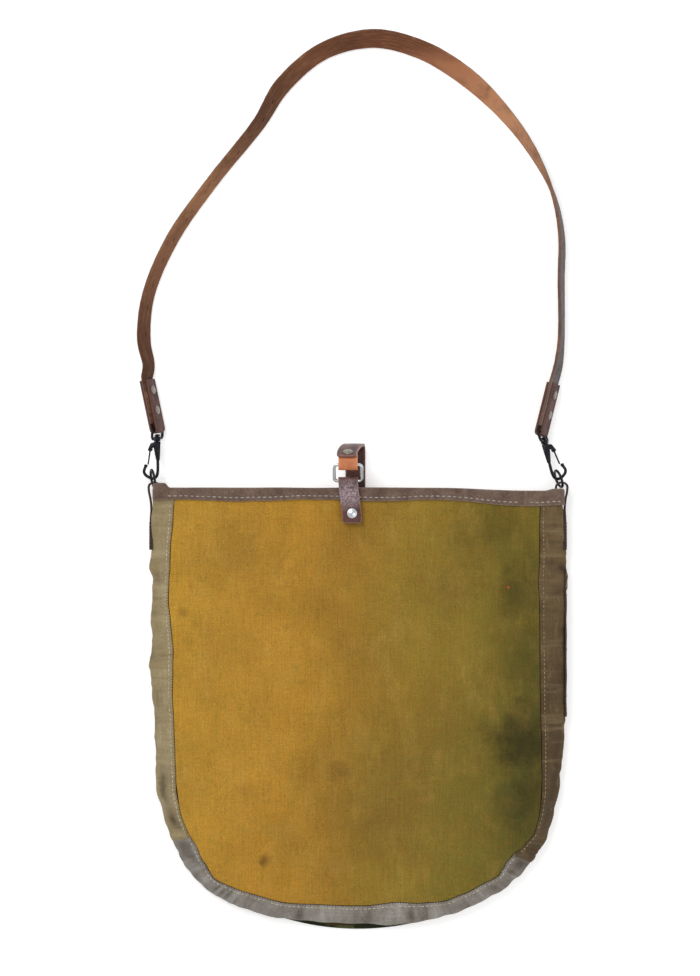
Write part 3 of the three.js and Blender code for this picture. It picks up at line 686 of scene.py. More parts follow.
def frontCanvasMaterial():
    # cloth dyed from ochre on the left to olive on the right, clouded and stained
    material, tree, shader = startMaterial("ombreCanvas", 0.92, 0.12)
    vector = addNode(tree, "ShaderNodeTexCoord").outputs["Object"]
    weave = useGroup(tree, weaveGroup, {"Vector": vector, "Threads": 4900.0})
    parts = addNode(tree, "ShaderNodeSeparateXYZ", {0: vector})
    drift = noiseAt(tree, vector, 7.0, 3.0, 0.55)
    slide = mathNode(tree, "MULTIPLY", mathNode(tree, "SUBTRACT", drift, 0.5), 0.13)
    tilt = mathNode(tree, "MULTIPLY", parts.outputs[1], -0.13)
    place = mathNode(tree, "ADD", mathNode(tree, "ADD", parts.outputs[0], slide), tilt)
    share = stretch(tree, place, -0.182, 0.182)
    dye = ramp(tree, share, [
        (0.03, rgb(192, 145, 52)), (0.17, rgb(190, 142, 51)), (0.30, rgb(187, 138, 48)),
        (0.44, rgb(163, 123, 44)), (0.58, rgb(153, 123, 45)), (0.71, rgb(142, 119, 45)),
        (0.84, rgb(124, 109, 41)), (0.93, rgb(108, 98, 38)), (1.0, rgb(88, 86, 36)),
    ])
    mottle = noiseAt(tree, vector, 26.0, 5.0, 0.62)
    dye = mixColour(tree, stretch(tree, mottle, 0.3, 0.75, 0.0, 0.34), dye, rgb(122, 88, 30))
    pale = noiseAt(tree, vector, 55.0, 4.0, 0.6, (1, 0.5, 1), (0.3, 0.1, 0))
    dye = mixColour(tree, stretch(tree, pale, 0.5, 0.8, 0.0, 0.22), dye, rgb(203, 163, 84))
    tint = noiseAt(tree, vector, 130.0, 4.0, 0.75, (1, 1, 1), (0, 0.7, 0))
    dye = mixColour(tree, stretch(tree, tint, 0.5, 0.7, 0.0, 0.26), dye, rgb(98, 98, 40))
    dye = mixColour(tree, stretch(tree, tint, 0.48, 0.3, 0.0, 0.26), dye, rgb(142, 92, 36))
    blurred = mathNode(tree, "MULTIPLY", mathNode(tree, "SUBTRACT", drift, 0.5), 2.2)
    for stain in frontStains["dark"]:
        mask, strength = spotMask(tree, vector, stain, 1.0)
        mask = mathNode(tree, "MULTIPLY", mask, mathNode(tree, "ADD", blurred, 0.9, clamp=True))
        dye = mixColour(tree, mathNode(tree, "MULTIPLY", mask, strength), dye, rgb(52, 47, 20))
    for stain in frontStains["brown"]:
        mask, strength = spotMask(tree, vector, stain, 1.0)
        dye = mixColour(tree, mathNode(tree, "MULTIPLY", mask, strength), dye, rgb(106, 74, 34))
    dot, strength = spotMask(tree, vector, frontStains["red"], 0.3)
    dye = mixColour(tree, mathNode(tree, "MULTIPLY", dot, strength), dye, rgb(176, 78, 40))
    specks = noiseAt(tree, vector, 640.0, 1.0, 0.4)
    dye = mixColour(tree, stretch(tree, specks, 0.68, 0.8, 0.0, 0.55), dye, rgb(66, 52, 26))
    slub = stretch(tree, weave.outputs["Slub"], 0.3, 0.7, 0.72, 1.28)
    shade = mathNode(tree, "MULTIPLY", slub, stretch(tree, weave.outputs["Shade"], 0, 1, 0.9, 1.06))
    toned = addNode(tree, "ShaderNodeHueSaturation", {"Color": dye, "Value": shade})
    tree.links.new(toned.outputs["Color"], shader.inputs["Base Color"])
    shader.inputs["Sheen Weight"].default_value = 0.12
    bumpInto(tree, shader, weave.outputs["Height"], 0.25 * mm, canvasRelief)
    return material


def plainCanvasMaterial(name, body, mottled, worn, seed, tones=(), creased=0.4):
    # one-colour cloth on its own surface map, lighter where it is rubbed, with painted shade in its hollows
    # and along its creases
    material, tree, shader = startMaterial(name, 0.94, 0.1)
    place = addNode(tree, "ShaderNodeTexCoord").outputs["Object"]
    surface = addNode(tree, "ShaderNodeUVMap", uv_map="surface").outputs["UV"]
    weave = useGroup(tree, weaveGroup, {"Vector": surface, "Threads": plainThreads})
    cloud = noiseAt(tree, place, 34.0, 4.0, 0.6, (1, 1, 1.5), (seed, seed, 0))
    colour = mixColour(tree, stretch(tree, cloud, 0.35, 0.68), body, mottled)
    for low, high, axis, tone, amount in tones:
        parts = addNode(tree, "ShaderNodeSeparateXYZ", {0: place})
        band = stretch(tree, parts.outputs[axis], low, high)
        colour = mixColour(tree, mathNode(tree, "MULTIPLY", band, amount), colour, tone)
    streak = noiseAt(tree, place, 120.0, 4.0, 0.7, (1, 0.4, 1), (seed * 2, 0, 0))
    colour = mixColour(tree, stretch(tree, streak, 0.56, 0.76, 0.0, 0.5), colour, worn)
    specks = noiseAt(tree, place, 600.0, 1.0, 0.4)
    colour = mixColour(tree, stretch(tree, specks, 0.66, 0.8, 0.0, 0.5), colour, rgb(62, 52, 38))
    # painted shade darkens the creases; the ridges between them take the rubbed colour, partly as wear and
    # partly as painted light
    crease = noiseAt(tree, surface, 95.0, 3.0, 0.6, (0.12, 1, 1), (seed, 0, 0))
    colour = mixColour(tree, stretch(tree, crease, 0.52, 0.74, 0.0, creased), colour, rgb(74, 62, 46))
    colour = mixColour(tree, stretch(tree, crease, 0.46, 0.28, 0.0, creased), colour, worn)
    # painted shade: the cloth darkens where the gusset's pressed hollows lie, weighted by the hollow
    # attribute
    hollowShade = addNode(tree, "ShaderNodeAttribute", attribute_name="hollow").outputs["Fac"]
    hollowShade = mathNode(tree, "MULTIPLY", hollowShade, stretch(tree, cloud, 0.3, 0.6, 0.4, 0.85))
    colour = mixColour(tree, hollowShade, colour, rgb(66, 54, 40))
    slub = stretch(tree, weave.outputs["Slub"], 0.3, 0.7, 0.72, 1.26)
    shade = mathNode(tree, "MULTIPLY", slub, stretch(tree, weave.outputs["Shade"], 0, 1, 0.84, 1.1))
    toned = addNode(tree, "ShaderNodeHueSaturation", {"Color": colour, "Value": shade})
    tree.links.new(toned.outputs["Color"], shader.inputs["Base Color"])
    shader.inputs["Sheen Weight"].default_value = 0.1
    wrinkle = noiseAt(tree, place, 210.0, 3.0, 0.6, (1, 1, 0.6))
    height = mathNode(tree, "ADD", weave.outputs["Height"], mathNode(tree, "MULTIPLY", wrinkle, 3.0))
    bumpInto(tree, shader, height, 0.3 * mm, canvasRelief)
    return material


def backCanvasMaterial():
    # dark olive cloth printed with blackish square-cornered blocks
    material, tree, shader = startMaterial("blockPrintCanvas", 0.93, 0.1)
    place = addNode(tree, "ShaderNodeTexCoord").outputs["Object"]
    surface = addNode(tree, "ShaderNodeUVMap", uv_map="surface").outputs["UV"]
    weave = useGroup(tree, weaveGroup, {"Vector": surface, "Threads": plainThreads})
    cells = addNode(tree, "ShaderNodeTexVoronoi", {"Vector": surface, "Scale": 46.0, "Randomness": 0.8},
                    distance="CHEBYCHEV")
    printed = addNode(tree, "ShaderNodeSeparateColor", {"Color": cells.outputs["Color"]})
    cloud = noiseAt(tree, place, 30.0, 4.0, 0.6)
    colour = mixColour(tree, stretch(tree, cloud, 0.35, 0.7), rgb(66, 74, 42), rgb(88, 92, 58))
    blocks = stretch(tree, printed.outputs[0], 0.6, 0.62, 0.0, 0.85)
    colour = mixColour(tree, blocks, colour, rgb(36, 38, 28))
    flecks = stretch(tree, printed.outputs[1], 0.8, 0.82, 0.0, 0.7)
    colour = mixColour(tree, flecks, colour, rgb(84, 70, 46))
    slub = stretch(tree, weave.outputs["Slub"], 0.3, 0.7, 0.8, 1.2)
    toned = addNode(tree, "ShaderNodeHueSaturation", {"Color": colour, "Value": slub})
    tree.links.new(toned.outputs["Color"], shader.inputs["Base Color"])
    bumpInto(tree, shader, weave.outputs["Height"], 0.25 * mm, canvasRelief)
    return material


def hideMaterial(name, body, patch, creased, rubbed, rough, grain, specular, coat=0.0, sheen=0.0,
                 wear=0.7, fibre=False, paintedSheen=None):
    # pebbled leather in four tones; fibre gives it a nap, and a place and radius given for the sheen add a
    # pale painted highlight
    material, tree, shader = startMaterial(name, rough, specular)
    place = addNode(tree, "ShaderNodeTexCoord").outputs["Object"]
    edge = addNode(tree, "ShaderNodeAttribute", attribute_name="edge").outputs["Fac"]
    hide = useGroup(tree, grainGroup, {"Vector": place, "Scale": grain})
    rub = useGroup(tree, wearGroup, {"Vector": place, "Edge": edge, "Amount": wear})
    colour = mixColour(tree, stretch(tree, hide.outputs["Patch"], 0.35, 0.66), body, patch)
    colour = mixColour(tree, mathNode(tree, "MULTIPLY", hide.outputs["Crease"], 0.55), colour, creased)
    colour = mixColour(tree, rub.outputs["Mask"], colour, rubbed)
    if paintedSheen:
        # painted highlight: a pale speckled sheen round one place
        middle, radius = paintedSheen
        near = stretch(tree, distanceTo(tree, place, middle), 0.3 * radius, radius, 0.9, 0.0)
        speckle = stretch(tree, noiseAt(tree, place, 520.0, 5.0, 0.75), 0.40, 0.60, 0.15, 1.0)
        sheenMask = mathNode(tree, "MULTIPLY", near, speckle)
        colour = mixColour(tree, sheenMask, colour, rgb(172, 156, 162))
    low, high = max(0.05, rough - 0.12), min(1.0, rough + 0.16)
    tree.links.new(stretch(tree, hide.outputs["Patch"], 0.3, 0.7, low, high), shader.inputs["Roughness"])
    height = hide.outputs["Height"]
    if fibre:
        nap = noiseAt(tree, place, 1100.0, 3.0, 0.7)
        colour = mixColour(tree, stretch(tree, nap, 0.52, 0.7, 0.0, 0.7), colour, creased)
        colour = mixColour(tree, stretch(tree, nap, 0.46, 0.3, 0.0, 0.5), colour, rubbed)
        height = mathNode(tree, "ADD", height, mathNode(tree, "MULTIPLY", nap, 2.0))
    tree.links.new(colour, shader.inputs["Base Color"])
    height = mathNode(tree, "SUBTRACT", height, mathNode(tree, "MULTIPLY", hide.outputs["Crease"], 0.8))
    bumpInto(tree, shader, height, 0.18 * mm, 0.7)
    shader.inputs["Coat Weight"].default_value = coat
    shader.inputs["Coat Roughness"].default_value = 0.35
    shader.inputs["Sheen Weight"].default_value = sheen
    return material


def strapMaterial():
    # tan flesh side inside, dark finished grain outside, and a rough cut edge between them
    material, tree, shader = startMaterial("harnessLeather", 0.7, 0.16)
    place = addNode(tree, "ShaderNodeTexCoord").outputs["Object"]
    surface = addNode(tree, "ShaderNodeUVMap", uv_map="surface").outputs["UV"]
    outer = addNode(tree, "ShaderNodeAttribute", attribute_name="outer").outputs["Fac"]
    edge = addNode(tree, "ShaderNodeAttribute", attribute_name="edge").outputs["Fac"]
    hide = useGroup(tree, grainGroup, {"Vector": place, "Scale": 1100.0})
    rub = useGroup(tree, wearGroup, {"Vector": place, "Edge": edge, "Amount": 0.8})
    parts = addNode(tree, "ShaderNodeSeparateXYZ", {0: place})
    height = stretch(tree, parts.outputs[1], 0.30, 0.66)
    toRight = stretch(tree, parts.outputs[0], -0.12, 0.13)
    left = ramp(tree, height, [
        (0.0, rgb(66, 42, 30)), (0.2, rgb(88, 55, 37)), (0.6, rgb(146, 102, 72)),
        (0.8, rgb(70, 40, 25)), (0.91, rgb(66, 38, 24)), (1.0, rgb(94, 56, 35)),
    ])
    right = ramp(tree, height, [
        (0.0, rgb(104, 80, 70)), (0.35, rgb(98, 78, 70)), (0.6, rgb(130, 94, 74)),
        (0.8, rgb(182, 130, 94)), (0.95, rgb(168, 112, 80)), (1.0, rgb(110, 68, 46)),
    ])
    flesh = mixColour(tree, toRight, left, right)
    dirt = noiseAt(tree, place, 48.0, 5.0, 0.65)
    flesh = mixColour(tree, stretch(tree, dirt, 0.5, 0.72, 0.0, 0.6), flesh, rgb(84, 52, 36))
    fibre = noiseAt(tree, surface, 240.0, 4.0, 0.7, (2.6, 0.22, 1))
    flesh = mixColour(tree, stretch(tree, fibre, 0.5, 0.75, 0.0, 0.4), flesh, rgb(176, 126, 92))
    grainSide = mixColour(tree, stretch(tree, hide.outputs["Patch"], 0.35, 0.66),
                          rgb(76, 66, 64), rgb(100, 93, 93))
    creased = mathNode(tree, "MULTIPLY", hide.outputs["Crease"], 0.6)
    grainSide = mixColour(tree, creased, grainSide, rgb(52, 38, 34))
    grainSide = mixColour(tree, rub.outputs["Mask"], grainSide, rgb(122, 112, 108))
    colour = mixColour(tree, stretch(tree, outer, 0.72, 0.9), flesh, grainSide)
    tree.links.new(colour, shader.inputs["Base Color"])
    tree.links.new(stretch(tree, outer, 0.4, 0.9, 0.82, 0.55), shader.inputs["Roughness"])
    bumpInto(tree, shader, mathNode(tree, "ADD", hide.outputs["Height"], fibre), 0.2 * mm, 0.7)
    return material


def metalMaterial(name, body, worn, rough, wornRough, metallic, wear):
    material, tree, shader = startMaterial(name, rough, 0.5, metallic)
    place = addNode(tree, "ShaderNodeTexCoord").outputs["Object"]
    cloud = noiseAt(tree, place, 380.0, 5.0, 0.65)
    mask = stretch(tree, cloud, 0.52, 0.72, 0.0, wear)
    tree.links.new(mixColour(tree, mask, body, worn), shader.inputs["Base Color"])
    tree.links.new(stretch(tree, cloud, 0.3, 0.75, rough, wornRough), shader.inputs["Roughness"])
    scratch = noiseAt(tree, place, 2600.0, 3.0, 0.6, (1, 0.12, 1))
    bumpInto(tree, shader, scratch, 0.05 * mm, 0.5)
    return material


def threadMaterial(name, body, dirty):
    material, tree, shader = startMaterial(name, 0.85, 0.2)
    place = addNode(tree, "ShaderNodeTexCoord").outputs["Object"]
    cloud = noiseAt(tree, place, 160.0, 4.0, 0.6)
    tree.links.new(mixColour(tree, stretch(tree, cloud, 0.4, 0.66), body, dirty), shader.inputs["Base Color"])
    twist = addNode(tree, "ShaderNodeTexWave", {"Vector": place, "Scale": 900.0, "Distortion": 2.0})
    bumpInto(tree, shader, twist.outputs["Fac"], 0.08 * mm, 0.6)
    return material


plum = (rgb(92, 50, 40), rgb(56, 30, 26), rgb(30, 17, 16), rgb(140, 104, 98))
finish = {
    "ombre": frontCanvasMaterial(),
    "back": backCanvasMaterial(),
    "leftGusset": plainCanvasMaterial("khakiCanvas", rgb(164, 148, 112), rgb(146, 128, 92),
                                      rgb(186, 174, 142), 0.4),
    "rightGusset": plainCanvasMaterial("brownCanvas", rgb(118, 98, 68), rgb(96, 78, 52),
                                       rgb(156, 136, 102), 1.7, tones=[(0.12, 0.0, 1, rgb(74, 58, 38), 0.6)]),
    "bottomGusset": plainCanvasMaterial("greyCanvas", rgb(157, 151, 143), rgb(132, 124, 116),
                                        rgb(186, 182, 174), 3.1, creased=0.55,
                                        tones=[(-0.06, 0.0, 0, rgb(130, 122, 112), 0.3)]),
    "suede": hideMaterial("suedeBinding", rgb(120, 99, 86), rgb(92, 73, 64), rgb(66, 51, 44),
                          rgb(156, 136, 120), 0.95, 1700.0, 0.08, sheen=0.25, fibre=True, wear=0.6),
    "strap": strapMaterial(),
    "endTab": hideMaterial("reddishLeather", rgb(88, 50, 41), rgb(62, 36, 31), rgb(36, 22, 20),
                           rgb(104, 66, 54), 0.6, 1000.0, 0.25, coat=0.08),
    "dark": hideMaterial("plumLeather", *plum, 0.4, 700.0, 0.3, coat=0.18, wear=0.9),
    # the front tab's leather carries a painted highlight in its middle
    "frontTab": hideMaterial("sheenPaintedLeather", *plum, 0.4, 700.0, 0.3, coat=0.18, wear=0.9,
                             paintedSheen=((-0.010, 0.214, 0.029), 0.019)),
    "sideTab": hideMaterial("darkTabLeather", rgb(40, 30, 28), rgb(30, 23, 22), rgb(18, 14, 13),
                            rgb(74, 58, 52), 0.6, 900.0, 0.25),
    "tan": hideMaterial("orangeLeather", rgb(202, 126, 82), rgb(176, 98, 54), rgb(128, 66, 36),
                        rgb(220, 156, 106), 0.5, 1200.0, 0.4, coat=0.25),
    "black": metalMaterial("blackSteel", rgb(26, 27, 31), rgb(74, 76, 82), 0.42, 0.3, 0.75, 0.5),
    "nickel": metalMaterial("nickelPlate", rgb(216, 219, 223), rgb(128, 130, 134), 0.2, 0.42, 1.0, 0.7),
    "rivet": metalMaterial("dullNickel", rgb(150, 142, 134), rgb(84, 72, 64), 0.42, 0.55, 1.0, 0.7),
    "lightThread": threadMaterial("paleThread", rgb(206, 200, 180), rgb(160, 150, 126)),
    "greyThread": threadMaterial("greyThread", rgb(176, 170, 164), rgb(140, 132, 124)),
    "duskThread": threadMaterial("dustyThread", rgb(160, 146, 116), rgb(118, 102, 76)),
    "darkThread": threadMaterial("brownThread", rgb(66, 46, 30), rgb(44, 32, 22)),
}
print("finishes made:", len(finish))


# canvas panels

cloth = {
    "frontSize": (0.364, 0.41), "backSize": (0.396, 0.44), "frontSteps": 150, "backSteps": 90,
    "gussetWide": 0.056, "gussetSide": 0.292, "gussetRound": 0.56, "sharp": 1.2,
}


def makeFrontPanel():
    seam = dict(seams["front"])
    seam["half"] -= sackShape["seamGap"]
    seam["depth"] -= sackShape["seamGap"]

    def place(u, v):
        # columns close up towards the sides, but never so far that the wandering seam turns them over
        x = seam["half"] * (0.4 * (2 * u - 1) + 0.6 * math.sin(math.pi * (u - 0.5)))
        low = bottomY(seam, x)
        y = low + (sackShape["canvasTop"] - low) * (1 - (1 - v) ** 1.5)
        return mouthDip(Vector((x, y, frontFace(x, y))) + panelShift(x, y))
    bm = sheetMesh(cloth["frontSteps"], cloth["frontSteps"], place, canvas, cloth["frontSize"],
                   edgeFade=4 * mm)
    roundEdges(bm, 0.45 * mm, cloth["sharp"])
    finishPiece("frontPanel", bm, "sack", "canvas_front", finish["ombre"], ["front_panel"])


def makeBackPanel():
    seam = seams["backEdge"]

    def place(u, v):
        x = seam["half"] * math.sin(math.pi * (u - 0.5))
        low = bottomY(seam, x)
        y = low + (sackShape["canvasTop"] - low) * (1 - (1 - v) ** 1.5)
        x *= 1 - 0.08 * nearMouth(y, 95, 150)
        ripple = 0.5 * mm * (1 + waver((x, y, 0), 28, 8.0)) * ease((x / 0.19) ** 2 + (y / 0.2) ** 2)
        return mouthDip(Vector((x, y, backZ(y) + ripple * 0.5)))
    bm = sheetMesh(cloth["backSteps"], cloth["backSteps"], place, canvas, cloth["backSize"],
                   edgeFade=5 * mm, flip=True)
    roundEdges(bm, 0.4 * mm, cloth["sharp"])
    finishPiece("backPanel", bm, "sack", "canvas_back", finish["back"], ["back_panel"])


def gussetLength(start, end):
    length = cloth["gussetSide"] * abs(min(end, 1) - min(start, 1))
    length += cloth["gussetSide"] * max(0, end - max(start, 2))
    return length + cloth["gussetRound"] * max(0, min(end, 2) - max(start, 1))


def makeGussets():
    # three cloths laid along the gusset: start and end station, finish, slot, pucker and steps
    first, last = sackShape["gussetJoin"]
    spans = {
        "Left": (0.0, first + 0.012, "leftGusset", "canvas_khaki", 1.4 * mm, 190),
        "Bottom": (first - 0.001, last + 0.001, "bottomGusset", "canvas_grey", 2.3 * mm, 260),
        "Right": (last - 0.012, 3.0, "rightGusset", "canvas_khaki", 1.4 * mm, 230),
    }
    for name, (start, end, look, slotName, pucker, steps) in spans.items():
        lap = 0.5 * mm if name == "Bottom" else 0.0

        def place(u, v):
            station = start + (end - start) * v
            here = gussetFace(station, u, pucker)
            outward = Vector((here.x, here.y + 0.04, 0)).normalized()
            return here + outward * lap * math.sin(math.pi * u)
        wide, length = cloth["gussetWide"], gussetLength(start, end)
        bm = sheetMesh(30, steps, place, canvas, (wide, length), edgeFade=3 * mm)
        # the hollow attribute holds how deep each pressed hollow is, to weight the painted shade in the
        # cloth's finish
        hollowShade, surface = bm.verts.layers.float.new("hollow"), bm.loops.layers.uv["surface"]
        for face in bm.faces:
            for loop in face.loops:
                across, run = loop[surface].uv.x / wide, loop[surface].uv.y / length
                loop.vert[hollowShade] = min(1.0, 0.5 * hollowAt(start + (end - start) * run, across))
        roundEdges(bm, 0.4 * mm, cloth["sharp"])
        finishPiece("gusset" + name, bm, "sack", slotName, finish[look], ["gusset_" + name.lower()])


def gussetLine(start, end, across, steps, lift):
    # a line sewn along the gusset, and the way out of the cloth at each of its places
    pucker = 1.6 * mm
    path, rises = [], []
    for k in range(steps + 1):
        station = start + (end - start) * k / steps
        here = gussetFace(station, across, pucker)
        over = gussetFace(station, across + 0.04, pucker) - here
        ahead = gussetFace(min(3, station + stationStep), across, pucker)
        behind = gussetFace(max(0, station - stationStep), across, pucker)
        rise = over.cross(ahead - behind).normalized()
        if rise.z < 0 and across < 0.5:
            rise.negate()
        path.append(here + rise * lift)
        rises.append(rise)
    return path, rises


def makeSeamSewing():
    # pale topstitching along the gusset, and the dark overcast edge between it and the front panel, its dark
    # thread partly standing in for the shadow along the seam
    for name, start, end, look in (("Left", 0.05, 1.81, "lightThread"), ("Right", 1.83, 2.95, "duskThread")):
        path, rises = gussetLine(start, end, 0.04, 600, 0.25 * mm)
        bm = stitchAlong(path, rises, 4.4 * mm, 3.1 * mm, 0.5 * mm)
        finishPiece("gussetTopstitch" + name, bm, "sack", "canvas_khaki", finish[look])
    # dark overcast thread: partly stitching, partly painted shadow along the seam between panel and gusset
    path = gussetLine(0.05, 2.95, 0.004, 420, -0.2 * mm)[0]
    bm = stitchAlong(path, [up] * len(path), 2.7 * mm, 1.9 * mm, 0.34 * mm, slant=0.8)
    finishPiece("seamOvercastAndShadow", bm, "sack", "canvas_khaki", finish["darkThread"])


def makeCrossSeams():
    # the joins between the gusset's cloths, each a turned fold
    for name, station, look in (("Left", sackShape["gussetJoin"][0], "leftGusset"),
                                ("Right", sackShape["gussetJoin"][1], "rightGusset")):
        sign = 1 if name == "Left" else -1

        def place(u, v):
            local, across = station + sign * (0.006 - 0.03 * v), 0.02 + 0.94 * u
            here = gussetFace(local, across, 1.4 * mm)
            nearby = gussetFace(local + stationStep, across, 1.4 * mm)
            over = gussetFace(local, 0.05 + 0.94 * u, 1.4 * mm) - here
            rise = over.cross(nearby - here).normalized()
            if rise.dot(up * (0.5 - u) + Vector((here.x, here.y, 0)).normalized()) < 0:
                rise.negate()
            return here + rise * (0.35 * mm + 0.9 * mm * math.sin(math.pi * min(1, v * 1.4)) ** 0.7)
        bm = sheetMesh(26, 8, place, 0.7 * mm, (0.055, 0.016), edgeFade=2 * mm, flip=sign > 0)
        roundEdges(bm, 0.2 * mm, cloth["sharp"])
        finishPiece("gussetJoin" + name, bm, "sack", "canvas_khaki", finish[look])


makeFrontPanel()
makeBackPanel()
makeGussets()
makeSeamSewing()
makeCrossSeams()
print("canvas made")


# suede binding round the mouth

binding = {
    "leather": 1.6 * mm, "spread": 2.9 * mm, "innerDepth": 14 * mm, "crown": 2.2 * mm,
    "legShare": 0.42, "aroundTop": 0.16, "flatWidth": 0.036,
}


def bindingLow(x):
    # the outer leg's uneven lower edge
    base = 207.2 * mm - 5.4 * mm * ease((x - 0.06) / 0.13) + 0.9 * mm * math.cos(x / 0.021 + 2.2)
    return base + 0.4 * mm * waver((x, 0, 0), 60, 4.0)


def bindingTop(x, lump):
    # it sags with the mouth to the right and stands up at both corners
    sag = -3.0 * mm * ease((x - 0.07) / 0.1) + 2.0 * mm * ease((x - 0.186) / 0.01)
    wave = 0.4 * mm * waver((x, 0, 0), 24, 2.0)
    return sackShape["mouthY"] + wave + sag + lump * ease((-0.187 - x) / (5 * mm))


def bindingSection(u, low, top):
    # distance out from the canvas edge and height: u runs up the outer leg, over the top and down inside
    spread, crown, leg = binding["spread"], top - binding["crown"], binding["legShare"]
    if u < leg:
        return spread, low + (crown - low) * (u / leg)
    if u > 1 - leg:
        inner = sackShape["mouthY"] - binding["innerDepth"]
        return -spread, crown - (crown - inner) * ((u - (1 - leg)) / leg)
    turn = math.pi * (u - leg) / binding["aroundTop"]
    return spread * math.cos(turn), crown + binding["crown"] * math.sin(turn)


def bindingStrip(path, lump):
    # one suede strip astride the canvas edge along a path in the mouth's plane
    runs = tangents(path)

    def place(u, v):
        here, run = sampleList(path, v), sampleList(runs, v)
        outward = Vector((-run.z, 0, run.x)).normalized()
        out, y = bindingSection(u, bindingLow(here.x), bindingTop(here.x, lump))
        return Vector((here.x + outward.x * out, y, here.z + outward.z * out))
    size = (binding["flatWidth"], pathLength(path))
    bm = sheetMesh(30, len(path) - 1, place, binding["leather"], size, edgeFade=2.4 * mm, flip=True)
    roundEdges(bm, 0.35 * mm, least=1.1)
    return bm


def makeBinding():
    def corner(sign, shares):
        places = []
        for share in shares:
            edge = gussetPoint(3, share)
            x = sign * (edge.x - 1 * mm * min(1, 3 * share))
            places.append((x, 0, edge.z - 1 * mm * (1 - 2 * share)))
        return places
    backMiddle = sackShape["mouthLift"] + 1 * mm
    front = corner(-1, (0.46, 0.36, 0.26, 0.14)) + [(x, 0, 22 * mm) for x in (-0.18, -0.09, 0, 0.09, 0.166)]
    frontPath = smoothPath(front, 230)
    bm = bindingStrip(frontPath, 4.6 * mm)
    finishPiece("bindingFront", bm, "sack", "suede", finish["suede"], ["binding_front"])
    # the second strip starts under the first one's end and goes round both sides and the back
    shares = (0.14, 0.26, 0.36, 0.46, 0.56, 0.68, 0.82, 0.94)
    back = [(0.1663, 0, 21.9 * mm), (0.178, 0, 22 * mm), *corner(1, shares), (0.15, 0, backMiddle),
            (0, 0, backMiddle), (-0.15, 0, backMiddle), *reversed(corner(-1, shares[4:]))]
    backPath = smoothPath(back, 300)
    bm = bindingStrip(backPath, 0.0)
    finishPiece("bindingBack", bm, "sack", "suede", finish["suede"], ["binding_back"])

    rows = bmesh.new()
    for path in (frontPath[8:-4], backPath[2:60]):
        row, rises = [], []
        for here, run in zip(path, tangents(path)):
            outward = Vector((-run.z, 0, run.x)).normalized()
            height = bindingLow(here.x) + 3.7 * mm + 0.5 * mm * waver((here.x, 0, 0), 90, 3.0)
            row.append(Vector((here.x, height, here.z)) + outward * (binding["spread"] + 0.1 * mm))
            rises.append(outward)
        joinInto(rows, stitchAlong(row, rises, 5.6 * mm, 3.9 * mm, 0.6 * mm))
    behind = backMiddle - binding["spread"]
    row = [Vector((-0.17 + 0.34 * k / 100, 210.4 * mm, behind)) for k in range(101)]
    joinInto(rows, stitchAlong(row, [-up] * len(row), 5.6 * mm, 3.8 * mm, 0.5 * mm))
    finishPiece("bindingStitch", rows, "sack", "suede", finish["greyThread"])


makeBinding()
print("binding made")


# side tabs, rings, hooks and strap ends; each side's frame follows the record's joints

sides = {
    "left": {"sign": -1, "ringYaw": 10, "ringTilt": 14, "lean": 22,
             "hookUp": (0.02, 1), "endUp": (-0.205, 0.979)},
    "right": {"sign": 1, "ringYaw": 20, "ringTilt": 14, "lean": -22,
              "hookUp": (-0.28, 0.96), "endUp": (0.241, 0.97)},
}
ringPivot = (202.8 * mm, 220.5 * mm, 13 * mm)
sideTab = {"width": 10 * mm, "leather": 1.8 * mm, "lowY": 158, "z": 13 * mm}
ring = {"radius": 8.7 * mm, "wire": 1.3 * mm}
hook = {
    "wire": 1.5 * mm, "length": 49 * mm, "gatePivot": (6.4, 28.6), "gateTip": (8.6, 13.4),
    "spine": [(-1, 20), (-1, 5), (0.4, 1.2), (3.5, -0.3), (7.6, 0.8), (11.4, 3.6), (12.5, 6.6), (10.8, 12)],
    "cheek": [(-3, 18), (0.6, 18), (3.4, 31), (7.2, 26), (9.2, 28), (6.4, 34.6), (1.5, 36.4), (-3.4, 36.4)],
    "core": [(-3, 18), (0.6, 18), (3.1, 29.4), (3.9, 31.4), (3.6, 35.2), (1.5, 36.4), (-3.4, 36.4)],
    "eyeHalf": 12 * mm, "eyeWire": 1.4 * mm,
}
strapEnd = {"width": 19 * mm, "leather": 2 * mm, "length": 50 * mm, "rivets": (18.5, 39)}
strap = {"width": 20 * mm, "thick": 4 * mm}


def sideFrame(side):
    # where this side's ring, hook and strap end sit
    yaw = math.radians(side["ringYaw"])
    away = Vector((-math.sin(yaw), math.cos(yaw), 0))
    pivot = Vector((side["sign"] * ringPivot[0], ringPivot[1], ringPivot[2]))
    hookUp = Vector((*side["hookUp"], 0)).normalized()
    out = Vector((side["sign"] * hookUp.y, -side["sign"] * hookUp.x, 0))
    centre = pivot + away * ring["radius"]
    origin = centre - out * 3.5 * mm + hookUp * 0.3 * mm
    along = Vector((*side["endUp"], 0)).normalized()
    outward = Vector((side["sign"] * along.y, -side["sign"] * along.x, 0))
    tip = math.radians(side["lean"])
    side.update({
        "away": away, "centre": centre, "origin": origin, "up": hookUp, "out": out,
        "eye": origin + hookUp * hook["length"], "along": along,
        "wide": up * math.cos(tip) + outward * math.sin(tip),
        "face": outward * math.cos(tip) - up * math.sin(tip),
    })


